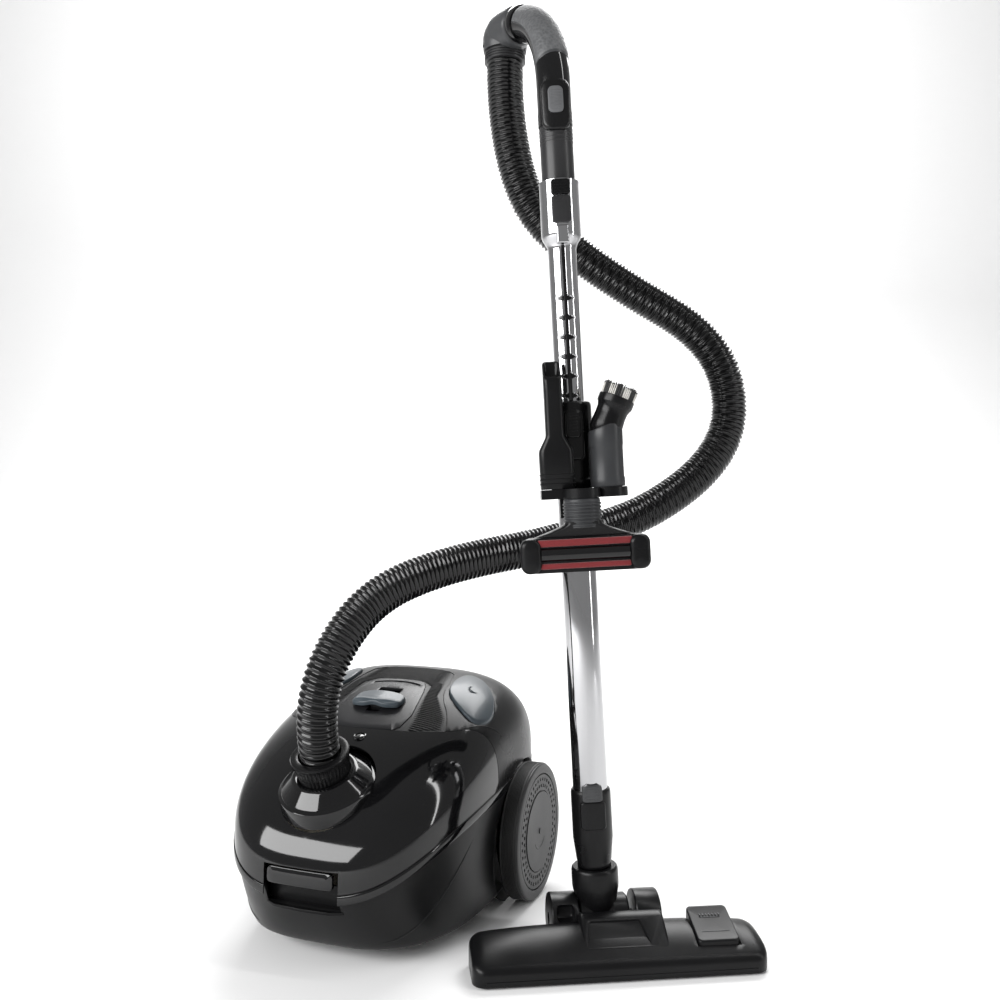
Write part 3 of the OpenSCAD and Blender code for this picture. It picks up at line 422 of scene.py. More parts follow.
toolBlack = moulded("toolBlack", (0.004, 0.004, 0.0044), 0.3, grainDepth=0.08, specular=0.2)
toolGrey = moulded("toolGrey", (0.03, 0.031, 0.033), 0.36, grainDepth=0.07)
innerGrey = moulded("innerGrey", (0.10, 0.10, 0.105), 0.5, grainDepth=0.10)
windowDark = moulded("windowDark", (0.004, 0.004, 0.004), 0.06, grainDepth=0.004, coat=0.6)
gripGrey = stippled("gripGrey", (0.085, 0.087, 0.09), 0.5, cell=330, depth=0.9)
valveGrey = moulded("valveGrey", (0.10, 0.102, 0.106), 0.35, grainDepth=0.06)
bristleBlack = moulded("bristleBlack", (0.02, 0.02, 0.021), 0.45, grainScale=300)
chrome = plated("chrome", (0.5, 0.5, 0.51), 0.05)
turnedSteel = plated("turnedSteel", (0.55, 0.55, 0.56), 0.22, 0.2)
brushedSole = plated("brushedSole", (0.45, 0.45, 0.46), 0.3, 0.25)
lintRed = woven("lintRed", (0.17, 0.004, 0.007), 0.85, scale=1600)
feltPale = woven("feltPale", (0.72, 0.70, 0.66), 0.9)
bagCloth = woven("bagCloth", (0.60, 0.55, 0.46), 0.9, scale=700)
print("finishes ready:", len(finishes))

# camera, from where the canister is seen a little from its right

cameraFacts = {"x": 383.1, "y": -992.9, "height": 458, "heading": 21, "tilt": -0.5,
               "lens": 36}
cameraData = bpy.data.cameras.new("camera")
cameraData.lens = cameraFacts["lens"]
cameraData.sensor_width = 36
cameraData.clip_start = 0.05
camera = bpy.data.objects.new("camera", cameraData)
bpy.context.scene.collection.objects.link(camera)
camera.location = (cameraFacts["x"] * mm, cameraFacts["y"] * mm, cameraFacts["height"] * mm)
camera.rotation_euler = (math.radians(90 + cameraFacts["tilt"]), 0,
                         math.radians(cameraFacts["heading"]))
bpy.context.scene.camera = camera

# hose, from the cuff on the lid to the swivel under the handle

hoseFacts = {"diameter": 40, "ribDepth": 2.0, "pitchAtCuff": 7.4, "pitch": 4.3,
             "settleOver": 160, "sides": 32, "step": 0.8, "insideCuff": 9}
hoseRoute = [
    (1, -225, 212), (4, -232, 237), (7, -235, 258), (11, -233, 278), (16, -227, 297),
    (23, -212, 320), (34, -188, 344), (51, -166, 361), (75, -138, 374), (103, -110, 384),
    (131, -84, 391), (160, -60, 397), (201, -28, 409), (254, 11, 428), (288, 36, 449),
    (318, 58, 475), (340, 74, 506), (350, 82, 540), (347, 81, 580), (334, 74, 614),
    (305, 58, 646), (252, 31, 680), (200, 4, 717), (158, -18, 756), (138, -30, 800),
    (128, -35, 850), (124, -37, 895)
]
inletUp = Vector((0, -math.sin(math.radians(24)), math.cos(math.radians(24))))
inletSpot = Vector((0, -205, 168))
hoseEnd = Vector((124, -37, 926))


def curved(points, steps=12):
    # a smooth line through the points
    line = []
    for k in range(len(points) - 1):
        p0 = points[max(k - 1, 0)]
        p1, p2 = points[k], points[k + 1]
        p3 = points[min(k + 2, len(points) - 1)]
        for i in range(steps):
            t = i / steps
            line.append(0.5 * ((2 * p1) + (p2 - p0) * t + (2 * p0 - 5 * p1 + 4 * p2 - p3) * t * t
                               + (3 * p1 - p0 - 3 * p2 + p3) * t ** 3))
    line.append(points[-1])
    return line


def relaxed(line, times):
    for _ in range(times):
        line = [line[0]] + [
            (line[k - 1] + 2 * line[k] + line[k + 1]) / 4 for k in range(1, len(line) - 1)
        ] + [line[-1]]
    return line


def evenly(line, step):
    # the same line with points a fixed distance apart
    total = sum((line[k + 1] - line[k]).length for k in range(len(line) - 1))
    count = int(round(total / step))
    step = total / count
    out, need, k, start = [line[0]], step, 0, line[0]
    while len(out) < count and k < len(line) - 1:
        gap = (line[k + 1] - start).length
        if gap >= need:
            start = start + (line[k + 1] - start) * (need / gap)
            out.append(start)
            need = step
        else:
            need -= gap
            k += 1
            start = line[k]
    out.append(line[-1])
    return out


def sweepFrames(line, firstSide):
    ways = []
    for k in range(len(line)):
        ways.append((line[min(k + 1, len(line) - 1)] - line[max(k - 1, 0)]).normalized())
    side = firstSide
    frames = []
    for way in ways:
        side = (side - way * side.dot(way)).normalized()
        frames.append((side, way.cross(side), way))
    return frames


def rib(phase):
    # one rib: a narrow round crest and a wider valley
    wave = 0.5 + 0.5 * math.cos(2 * math.pi * phase)
    return wave ** 1.6


hoseStart = inletSpot + inletUp * (38.3 - hoseFacts["insideCuff"])
rawLine = [hoseStart, inletSpot + inletUp * 38.3] + [Vector(p) for p in hoseRoute] + [hoseEnd]
hoseLine = evenly(relaxed(evenly(curved(rawLine), 6), 14), hoseFacts["step"])
hoseFrames = sweepFrames(hoseLine, Vector((1, 0, 0)))
hoseRings = []
phase = 0
for k, spot in enumerate(hoseLine):
    along = k * hoseFacts["step"]
    ease = math.exp(-along / hoseFacts["settleOver"])
    pitch = hoseFacts["pitch"] + (hoseFacts["pitchAtCuff"] - hoseFacts["pitch"]) * ease
    phase += hoseFacts["step"] / pitch
    side, up, way = hoseFrames[k]
    ring = []
    for i in range(hoseFacts["sides"]):
        a = 2 * math.pi * i / hoseFacts["sides"]
        radius = hoseFacts["diameter"] / 2 - hoseFacts["ribDepth"] * (
            1 - rib(phase + i / hoseFacts["sides"]))
        ring.append(spot + side * (radius * math.cos(a)) + up * (radius * math.sin(a)))
    hoseRings.append(ring)
hose = loft("hoseTube", hoseRings, canFrame, sharpAngle=75)
hose.data.materials.append(hoseBlack)
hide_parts("hose")

# canister shells

canFacts = {"halfWidth": 133, "noseReach": 258, "tailReach": 112, "midLine": -30, "top": 250,
            "floorGap": 16, "seamFront": 80, "wall": 3, "lidLift": 0.5, "around": 168,
            "rings": 30}
halfWidth = canFacts["halfWidth"]
noseRun = canFacts["noseReach"] + canFacts["midLine"]
tailRun = canFacts["tailReach"] - canFacts["midLine"]
lidEdge = [(-140, -72), (-133, -77), (-110, -96), (-95, -120), (-53, -139), (53, -139),
           (95, -120), (110, -96), (133, -77), (140, -72)]
deckEdge = [(-96, -150), (-86, -104), (-62, -70), (-56, -30), (-48, 2), (48, 2), (56, -30),
            (62, -70), (86, -104), (96, -150)]
panelEdge = [(-52, -150), (-38, -52), (-22, -40), (22, -40), (38, -52), (52, -150)]
pedalEdge = [(62, -27), (69, -6), (92, -11), (110, -31), (118, -56), (115, -82), (104, -91),
             (82, -78), (64, -58)]


def signedPower(value, exponent):
    return math.copysign(abs(value) ** exponent, value)


def planPoint(angle, width, nose, tail, power):
    s = math.sin(angle)
    return (width * signedPower(math.cos(angle), 2 / power),
            canFacts["midLine"] + (nose if s < 0 else tail) * signedPower(s, 2 / power))


def seamHeight(y):
    return canFacts["seamFront"] + 68 * (1 - math.exp(-(y + canFacts["noseReach"]) / 78))


def crownHeight(y):
    if y < 10:
        return canFacts["top"] - 92 * ((10 - y) / 268) ** 1.6
    return canFacts["top"] - 50 * ((y - 10) / 102) ** 2


def skinPoint(angle, r, inset=0, lift=0):
    x, y = planPoint(angle, halfWidth - inset, noseRun - inset, tailRun - inset, 3)
    low = seamHeight(y) + lift
    x, y = x * r, -30 + (y + 30) * r
    high = crownHeight(y) - inset + lift
    return (x, y, low + (high - low) * (1 - r ** 3.2) ** (1 / 3.2))


def skinHeight(x, y):
    # the upper skin's height over a place in plan
    reach = noseRun if y < canFacts["midLine"] else tailRun
    r = (abs(x / halfWidth) ** 3 + abs((y + 30) / reach) ** 3) ** (1 / 3)
    r = min(max(r, 1e-4), 1)
    low = seamHeight(-30 + (y + 30) / r)
    return low + (crownHeight(y) - low) * (1 - r ** 3.2) ** (1 / 3.2)


def footPoint(angle, q, inset=0, corner=0):
    ease = q ** 0.7
    back = inset + corner + 11 * (1 - ease)
    x, y = planPoint(angle, halfWidth - back, noseRun - inset - corner - 38 * (1 - ease),
                     tailRun - inset - corner - 14 * (1 - ease), 3.2 - 0.2 * ease)
    rimY = planPoint(angle, halfWidth, noseRun, tailRun, 3)[1]
    low = canFacts["floorGap"] + (3 if inset else 0)
    return (x, y, low + (seamHeight(rimY) + (1 if inset else 0) - low) * q)


def eachAngle(count):
    return [2 * math.pi * i / count for i in range(count)]


def upperShell(name, lift=0, thick=3, out=0):
    angles = eachAngle(canFacts["around"])
    radii = [math.sin(math.pi / 2 * k / canFacts["rings"]) for k in range(canFacts["rings"] + 1)]
    radii[0] = 0.012
    rings = [[skinPoint(a, r, -out, lift) for a in angles] for r in radii]
    rings += [[skinPoint(a, r, thick, lift) for a in angles] for r in reversed(radii)]
    return loft(name, rings, canFrame)


def cornersCut(points, times=2, closed=False):
    # rounds a polyline by cutting its corners
    for _ in range(times):
        fresh = []
        n = len(points)
        for k in range(n if closed else n - 1):
            (ax, ay), (bx, by) = points[k], points[(k + 1) % n]
            fresh += [(ax * 0.75 + bx * 0.25, ay * 0.75 + by * 0.25),
                      (ax * 0.25 + bx * 0.75, ay * 0.25 + by * 0.75)]
        points = fresh if closed else [points[0]] + fresh + [points[-1]]
    return points


def lidRegion(shift):
    edge = [(x, y + shift) for x, y in cornersCut(lidEdge)]
    return edge + [(150, -300), (-150, -300)]


def grown(points, by):
    # moves each side of a closed outline outward
    n = len(points)
    area = sum(points[k][0] * points[(k + 1) % n][1] - points[(k + 1) % n][0] * points[k][1]
               for k in range(n))
    turn = 1 if area > 0 else -1
    out = []
    for k in range(n):
        a, b, c = Vector(points[k - 1]), Vector(points[k]), Vector(points[(k + 1) % n])
        one = (b - a).normalized()
        two = (c - b).normalized()
        normal = Vector((one.y + two.y, -one.x - two.x)) * turn
        normal.normalize()
        side = Vector((one.y, -one.x)) * turn
        out.append(tuple(b + normal * (by / max(0.4, normal.dot(side)))))
    return out


def column(outline, low=20, high=300):
    return slab("cutter", outline, low, high, canFrame)


def bayCutter(side):
    place = canFrame @ moved(side * 119, 0, 75) @ turned(90 * side, "Y")
    return lathe("cutter", [(0, 0), (79, 0), (79, 60), (0, 60)], place, 96)


def block(low, high, place=canFrame):
    return roundBox("cutter", low, high, 0, place)


def mirrored(points):
    return [(-x, y) for x, y in reversed(points)]


def cushionPatch(name, outline, lift, edge, skirt, finish, body, nodes=(),
                 height=skinHeight, place=canFrame, crown=0, steps=14, drop=None):
    # a raised panel that follows the skin under it, its rim rolled over
    n = len(outline)
    cx = sum(p[0] for p in outline) / n
    cy = sum(p[1] for p in outline) / n
    size = sum(math.dist(p, (cx, cy)) for p in outline) / n
    rings = []
    drop = edge if drop is None else drop
    base = [(x, y, height(x, y) + lift - drop - skirt) for x, y in outline]
    rings.append(base)
    rolled = 6
    for k in range(rolled + 1):
        t = math.pi / 2 * k / rolled
        inward = edge * (1 - math.cos(t)) / size
        rings.append([
            (cx + (x - cx) * (1 - inward), cy + (y - cy) * (1 - inward),
             height(cx + (x - cx) * (1 - inward), cy + (y - cy) * (1 - inward))
             + lift - drop * (1 - math.sin(t)))
            for x, y in outline
        ])
    start = 1 - edge / size
    for k in range(1, steps + 1):
        s = start * (1 - k / steps)
        s = max(s, 0.01)
        rings.append([
            (cx + (x - cx) * s, cy + (y - cy) * s,
             height(cx + (x - cx) * s, cy + (y - cy) * s) + lift + crown * (1 - (s / start) ** 2))
            for x, y in outline
        ])
    obj = loft(name, rings, place)
    return piece(obj, body, finish, nodes)


def makeLid():
    lid = upperShell("lidShell", canFacts["lidLift"])
    lid = cut(lid, column(lidRegion(-1.4)), "INTERSECT")
    hole = lathe("cutter", [(0, -40), (49.3, -40), (49.3, 60), (0, 60)],
                 canFrame @ moved(0, -205, 168) @ turned(24, "X"), 128)
    lid = cut(lid, hole)
    lid = cut(lid, block((-40.6, -290, 20), (40.6, -236, 102.6)))
    window = slab("cutter", circle(5.2, 40, 6, -151), 150, 260, canFrame)
    lid = cut(lid, window)
    piece(lid, "lid", glossBlack, ["lid"])
    pane = lathe("indicatorPane", [(0, -3), (4.9, -3), (4.9, -0.6), (4.3, 0), (2.5, 0.35), (0, 0.4)],
                 canFrame @ moved(6, -151, skinHeight(6, -151) + 0.6) @ turned(16, "X"), 48)
    piece(pane, "lid", windowDark, ["indicator_window"])
    bezel = lathe("indicatorBezel", [(5, -2), (5, 0.5), (5.8, 0.95), (6.6, 0.7), (7, 0), (7, -2)],
                  canFrame @ moved(6, -151, skinHeight(6, -151) + 0.6) @ turned(16, "X"), 64, 38, True)
    piece(bezel, "lid", glossBlack, [])
    print("lid made")


def makeInlet():
    cone = lathe("inletCone", [
        (49, -14), (49, 1.2), (48.5, 2.6), (47, 3.6), (45.5, 4.1), (44.6, 5.4), (33.6, 14.2),
        (32.6, 15.4), (31.2, 16), (28.4, 16), (26.7, 15.4), (26.15, 14), (26.1, 4), (20, 4),
        (20, -14)
    ], inletPlace, 128, 30, True)
    piece(cone, "lid", glossBlack, ["inlet_cone"])
    ribs = 44
    steps = ribs * 6
    rings = []
    levels = [(0, 4.3, 0), (25.6, 4.3, 0), (25.8, 15.4, 0), (26, 16.6, 1), (26.6, 22, 1),
              (27.6, 29, 1), (28.6, 35, 1), (29, 36, 0), (29.2, 37.4, 0), (28.4, 38.6, 0),
              (25, 39.2, 0), (21.4, 38.4, 0), (20.4, 36.6, 0), (20.3, 20, 0), (0, 20, 0)]
    for radius, height, ribbed in levels:
        rings.append([
            ((radius - 0.8 * ribbed * (0.5 - 0.5 * math.cos(ribs * a)) ** 0.7) * math.cos(a)
             if radius else 0.01 * math.cos(a),
             (radius - 0.8 * ribbed * (0.5 - 0.5 * math.cos(ribs * a)) ** 0.7) * math.sin(a)
             if radius else 0.01 * math.sin(a), height)
            for a in eachAngle(steps)
        ])
    cuff = loft("hoseCuff", rings, inletPlace, sharpAngle=35)
    piece(cuff, "cuff", handleBlack, ["hose_cuff"])
    print("inlet made")


def makeBase():
    angles = eachAngle(canFacts["around"])
    rings = []
    rings.append([(x * 0.02, -30 + (y + 30) * 0.02, z) for x, y, z in
                  [footPoint(a, 0, 0, 6) for a in angles]])
    for k in range(6):
        t = math.pi / 2 * k / 5
        rings.append([footPoint(a, 0.045 * (1 - math.cos(t)), 0, 6 * (1 - math.sin(t)))
                      for a in angles])
    for k in range(1, 21):
        rings.append([footPoint(a, 0.045 + 0.955 * k / 20) for a in angles])
    for k in range(8):
        rings.append([footPoint(a, 1 - k / 7, 3) for a in angles])
    inner = rings[-1]
    rings.append([(x * 0.02, -30 + (y + 30) * 0.02, z) for x, y, z in inner])
    base = loft("baseShell", rings, canFrame)
    for side in (-1, 1):
        base = cut(base, bayCutter(side))
    base = cut(base, block((-40, -290, 64), (40, -240, 104)))
    well = slab("cutter", circle(31, 64, 0, -160), 5, 50, canFrame)
    base = cut(base, well)
    base = cut(base, block((-45, 90, 72), (45, 140, 118)))
    outlet = lathe("cutter", [(0, 0), (11, 0), (11, 60), (0, 60)],
                   canFrame @ moved(76, 65, 92) @ turned(-90, "X"), 48)
    base = cut(base, outlet)
    base = softEdges(base, 0.6, 2, 50)
    piece(base, "base", satinBlack, ["base_shell"])
    liners = []
    for side in (-1, 1):
        rings = []
        place = canFrame @ moved(side * 118.6, 0, 75) @ turned(90 * side, "Y")
        rings = [(50, -1.5), (78.6, -1.5), (78.6, 0.2), (50, 0.2)]
        liners.append(lathe("bayWall", rings, place, 96, 38, True))
    wells = roundBox("fingerWell", (-42, -241, 61.5), (42, -238.5, 84.6), 0.8, canFrame)
    shelf = [(-42, -238.5), (42, -238.5), (42, -248), (30, -254), (0, -256), (-30, -254), (-42, -248)]
    shelf = slab("fingerShelf", [(x, min(y, -238.5)) for x, y in shelf], 60.8, 63.9, canFrame, 0.6)
    wheelWell = lathe("casterWell", [(31.5, 18), (31.5, 50.5), (6, 50.5), (6, 53), (34, 53), (34, 18)],
                      canFrame @ moved(0, -160, 0), 72, 38, True)
    inside = joined("baseInside", *liners, wells, shelf, wheelWell)
    piece(smoothed(inside), "base", deckBlack, [])
    # the soft crease that sweeps up the flank
    creases = []
    for side in (-1, 1):
        line = []
        for k in range(33):
            t = k / 32
            a = -math.radians(68 - 50 * t)
            x, y, z = footPoint(a, 0.16 + 0.62 * t ** 1.7)
            line.append(Vector((side * x, y, z)))
        creases.append(sweptStrip(line, 2.4, 0.55))
    crease = joined("flankCrease", *creases)
    piece(smoothed(crease, 60), "base", satinBlack, [])
    print("base made")


def sweptStrip(line, width, height, sides=10, up=None):
    # a low rounded bead laid along a line
    frames = sweepFrames(line, Vector((0.3, 0.2, 1)))
    rings = []
    for k, spot in enumerate(line):
        way = frames[k][2]
        outward = Vector((spot.x / halfWidth, (spot.y + 30) / noseRun, 0.1)).normalized()
        if up is not None:
            outward = up
        across = way.cross(outward).normalized()
        outward = across.cross(way).normalized()
        fade = min(1, k / 4, (len(line) - 1 - k) / 4)
        fade = max(fade, 0.05)
        rings.append([
            spot + across * (width / 2 * fade * math.cos(2 * math.pi * i / sides))
            + outward * (height * fade * math.sin(2 * math.pi * i / sides))
            for i in range(sides)
        ])
    return loft("bead", rings, canFrame)


def makeLowerBand():
    # the band under the lid's rim, a hair proud of the base, with a groove on each side
    angles = eachAngle(canFacts["around"])
    profile = [(-0.4, -9.6), (0.5, -9.2), (0.75, -8.2), (0.75, -1.6), (0.4, -0.9), (-0.4, -0.7)]
    rings = []
    for out, drop in profile:
        ring = []
        for a in angles:
            z = footPoint(a, 1)[2]
            bx, by = planPoint(a, halfWidth + out, noseRun + out, tailRun + out, 3)
            ring.append((bx, by, z + drop))
        rings.append(ring)
    band = loft("rimBand", rings, canFrame, False, False, True)
    for side in (-1, 1):
        band = cut(band, bayCutter(side))
    band = cut(band, block((-40.4, -290, 20), (40.4, -200, 104)))
    piece(band, "base", glossBlack, [])


def makeCatch():
    angles = [math.radians(-90 + 40 * (k / 30 - 0.5) * 2) for k in range(31)]
    rings = []
    for a in angles:
        ring = []
        x, y = skinPoint(a, 1)[:2]
        r = Vector((x, y + 30)).normalized()
        for out, height in [(0.2, 101.6), (0.7, 100.8), (1.1, 93), (1.3, 87.4), (0.9, 86), (0, 85.3),
                            (-3.5, 85.3), (-4.5, 90), (-4.5, 101.6)]:
            ring.append((x + r.x * out, y + r.y * out, height))
        rings.append(ring)
    rings = [ring for ring in rings if abs(ring[0][0]) < 39.6]
    catch = loft("lidCatch", rings, canFrame)
    face = slab("cutter", roundRect(71, 16.4, 5, 8), 20, 110,
                canFrame @ moved(0, -200, 93.4) @ turned(90, "X"))
    catch = cut(catch, face, "INTERSECT")
    softEdges(catch, 0.5, 2, 50)
    piece(catch, "catch", glossBlack, ["lid_catch"])
    print("catch made")


def makeCover():
    cover = upperShell("rearCover")
    cover = cut(cover, column(lidRegion(0)))
    cover = cut(cover, column(grown(cornersCut(deckEdge, 2, True), 0.5)))
    for outline in (pedalEdge, mirrored(pedalEdge)):
        cover = cut(cover, column(grown(cornersCut(outline, 2, True), 0.7)))
    for side in (-1, 1):
        cover = cut(cover, bayCutter(side))
    softEdges(cover, 0.5, 2, 50)
    piece(cover, "base", coverBlack, ["rear_cover"])
    seams = []
    for side in (-1, 1):
        line = []
        for k in range(25):
            t = k / 24
            x, y = side * (104 + 25 * t), -104 + 50 * t
            line.append(Vector((x, y, skinHeight(x, y) - 0.2)))
        seams.append(sweptStrip(line, 1.6, 0.5))
    seam = joined("coverCrease", *seams)
    piece(smoothed(seam, 60), "base", deckBlack, [])
    # arches over the wheels
    arches = []
    for side in (-1, 1):
        place = canFrame @ moved(side * 119, 0, 75) @ turned(90 * side, "Y")
        arches.append(lathe("arch", [(79, 0), (79, 10), (80.2, 10.4), (80.8, 9), (80.8, 0)], place, 120,
                            38, True))
    arch = joined("wheelArch", *arches)
    arch = cut(arch, block((-200, -200, 0), (200, 200, 118)))
    crown = upperShell("cutter", 0, 60, 0.4)
    arch = cut(arch, crown, "INTERSECT")
    if len(arch.data.polygons):
        piece(arch, "base", coverBlack, [])
    else:
        bpy.data.objects.remove(arch)
    print("cover made")


def makeDeck():
    deck = upperShell("deckShell", -0.6)
    deck = cut(deck, column(cornersCut(deckEdge, 2, True)), "INTERSECT")
    deck = cut(deck, column(lidRegion(0)))
    deck = cut(deck, column(grown(cornersCut(panelEdge, 2, True), 0.5)))
    for outline in (pedalEdge, mirrored(pedalEdge)):
        deck = cut(deck, column(grown(cornersCut(outline, 2, True), 0.7)))
    piece(deck, "base", deckBlack, ["ribbed_deck"])
    bars = []
    for k in range(47):
        y = -136 + 2.9 * k
        half = (48 + (2 - y) * 0.25 if y > -30 else 56 + (-30 - y) * 0.15 if y > -70
                else 62 + (-70 - y) * 0.7 if y > -104 else 86 + (-104 - y) * 0.2) - 4
        if y < -118:
            half = min(half, 50 + (y + 139) / 0.452)
        inner = 0 if y > -42 else (38 + (-52 - y) * 0.143 if y < -52 else 24 + (-42 - y) * 1.4) + 3
        spans = [(-half, half)] if not inner else [(-half, -inner), (inner, half)]
        for low, high in spans:
            if high - low > 6:
                line = [Vector((x, y, skinHeight(x, y) - 0.5)) for x in
                        [low + (high - low) * i / 24 for i in range(25)]]
                bars.append(sweptStrip(line, 1.7, 0.95, 8, Vector((0, 0, 1))))
    ribs = joined("deckRibs", *bars)
    piece(smoothed(ribs, 60), "base", deckBlack, [])
    print("deck made")


def makePanel():
    arcSlot = [(-29 + 58 * k / 15, -56 + 6 * (1 - ((k - 7.5) / 7.5) ** 2)) for k in range(16)]
    arcSlot += [(x, y + 4) for x, y in reversed(arcSlot)]
    panel = upperShell("centrePanel", 0.15)
    panel = cut(panel, column(cornersCut(panelEdge, 2, True)), "INTERSECT")
    panel = cut(panel, column(lidRegion(0.2)))
    panel = cut(panel, block((-8, -113, 150), (8, -84, 290)))
    panel = cut(panel, column(roundRect(28, 11, 1.5, 6, 0, -70.5)))
    panel = cut(panel, column(arcSlot))
    softEdges(panel, 0.5, 2, 50)
    piece(panel, "base", panelGrey, ["center_panel"])
    # dark floor under the slots
    floor = roundBox("slotFloor", (-34, -116, 208), (34, -46, 211), 0.6, canFrame)
    piece(floor, "base", deckBlack, [])
    print("panel made")


def makeKnob():
    knob = {"wide": 58, "deep": 28, "tilt": 14, "crown": 5.5, "y": -99}
    place = canFrame @ moved(0, knob["y"], crownHeight(knob["y"]) + 1.2) @ turned(knob["tilt"], "X")
    halfW, halfD = knob["wide"] / 2, knob["deep"] / 2
    outline = []
    for x, y in [(-1, 0.55), (-0.93, 0.9), (-0.6, 1), (0.6, 1), (0.93, 0.9), (1, 0.55),
                 (1, -0.35), (0.9, -0.72), (0.45, -0.98), (0, -0.72), (-0.45, -0.98), (-0.9, -0.72),
                 (-1, -0.35)]:
        outline.append((x * halfW, y * halfD))
    outline = cornersCut(outline, 2, True)

    def knobTop(x, y):
        dome = knob["crown"] * (1 - (x / halfW) ** 2 * 0.75) * (1 - (max(0, -y) / halfD) ** 2 * 0.45)
        wave = 0.9 * math.exp(-((y + 9 - abs(x) * 0.18) / 2.2) ** 2)
        return dome + wave
    cushionPatch("regulatorKnob", outline, 1.6, 2.2, 2.2, blueGrey, "regulator",
                 ["power_slider"], knobTop, place, 0, 18)
    stem = roundBox("regulatorStem", (-7, -104, crownHeight(-99) - 8), (7, -94, crownHeight(-99) + 2),
                    0.8, canFrame)
    piece(stem, "regulator", deckBlack, [])
    print("knob made")


def makePedals():
    for side, body, node in ((1, "power_button", "power_pedal"), (-1, "rewind_button", "rewind_pedal")):
        outline = cornersCut(pedalEdge, 2, True)
        if side < 0:
            outline = mirrored(outline)
        cushionPatch(node + "Cap", outline, 3.6, 2.2, 6, blueGrey, body, [node],
                     skinHeight, canFrame, 1.8, 16)
        # a plain ring as the mark on each pedal
        place = canFrame @ moved(side * 90, -44, skinHeight(90, -44) + 4.9) @ turned(side * 30, "Y")
        mark = lathe("mark", [(5.4, -0.3), (5.4, 0.55), (6.6, 0.55), (6.6, -0.3)], place, 48, 38, True)
        bar = roundBox("bar", (-0.7, 1, -0.3), (0.7, 6, 0.6), 0.2, place)
        sign = joined(node + "Mark", mark, bar)
        piece(smoothed(sign), body, blueGrey, [])
    print("pedals made")


def wheelFaceHeight(r, a):
    # how far the wheel's outer face stands at a place on it
    dish = 22.2 - 0.0 * r
    if r > 63.35:
        return 21.6
    if 61.95 < r <= 63.35:
        return 18.6
    for middle, reach, count, shift in ((56.6, 1.7, 44, 0), (49.6, 1.7, 44, 0.5)):
        if abs(r - middle) <= reach:
            turn = (a / (2 * math.pi) * count + shift) % 1
            if 0.3 < turn < 0.7:
                return 19.4
    if r > 44.6:
        return 21.4
    if 43.4 < r <= 44.6:
        return 20.2
    return dish


def makeWheels():
    radii = [0.01, 2.9, 3.0, 12, 26, 36, 43.4, 43.5, 44.6, 44.7, 47.85, 47.95, 49.6, 51.25, 51.35,
             54.85, 54.95, 56.6, 58.25, 58.35, 61.9, 62, 63.3, 63.4, 63.9]
    spokes = 480
    for side, name in ((-1, "left"), (1, "right")):
        place = canFrame @ moved(side * 130, 0, 75) @ turned(90 * side, "Y")
        rings = []
        for r in radii:
            ring = []
            for a in eachAngle(spokes):
                z = wheelFaceHeight(r + (0.001 if r in (43.5, 44.7, 47.95, 51.35, 54.95, 58.35, 62, 63.4)
                                         else -0.001), a)
                if r < 3:
                    z = 23.2
                ring.append((r * math.cos(a), r * math.sin(a), z))
            rings.append(ring)
        for r, z in ((71.6, 21.6), (72.8, 21.2), (73.6, 20.4), (73.8, 19.4), (64, 19.4)):
            rings.append([(r * math.cos(a), r * math.sin(a), z) for a in eachAngle(spokes)])
        rings.append([(64 * math.cos(a), 64 * math.sin(a), 0.6) for a in eachAngle(spokes)])
        rings.append([(60 * math.cos(a), 60 * math.sin(a), 0) for a in eachAngle(spokes)])
        rings.append([(4 * math.cos(a), 4 * math.sin(a), 0) for a in eachAngle(spokes)])
        disc = loft("wheelDisc", rings, place, sharpAngle=32)
        arcs = []
        for radius, start, sweep in ((19, -62, 118),):
            line = [Vector((radius * math.cos(math.radians(start + sweep * t / 40)),
                            radius * math.sin(math.radians(start + sweep * t / 40)), 22.2))
                    for t in range(41)]
            frames = sweepFrames(line, Vector((0, 0, 1)))
            arcRings = []
            for j, spot in enumerate(line):
                fade = math.sin(math.pi * (j + 0.5) / 41) ** 0.5
                up, across, way = frames[j]
                arcRings.append([
                    spot + across * (1.3 * fade * math.cos(2 * math.pi * i / 8))
                    + up * (0.5 * fade * math.sin(2 * math.pi * i / 8)) for i in range(8)
                ])
            arcs.append(loft("arc", arcRings, place))
        wheel = joined("wheelDisc_" + name, disc, *arcs)
        piece(smoothed(wheel, 32), name + "_wheel", wheelGrey, ["wheel_" + name])
        profile = [(64, 0.4), (64, 19.2), (74.2, 19.2), (74.8, 18.6)]
        for k in range(9):
            z = 17 - 1.6 * k
            profile += [(75, z + 0.5), (75, z), (74.4, z - 0.3), (74.4, z - 0.9)]
        profile += [(74.9, 2.4), (74, 0.9), (72, 0.1), (66, 0)]
        tyre = lathe("tyreRing_" + name, profile, place, 180, 40, True)
        piece(tyre, name + "_wheel", tyreBlack, ["tyre_" + name])
    print("wheels made")


inletPlace = canFrame @ moved(0, -205, 168) @ turned(24, "X")
makeLid()
makeInlet()
makeBase()
makeLowerBand()
makeCatch()
makeCover()
makeDeck()
makePanel()
makeKnob()
makePedals()
makeWheels()

# handle, wand and the tools clipped to it


def wandSpot(x, y, z):
    return (canFrame.inverted() @ wandFrame @ (Vector((x, y, z)) * mm)) / mm


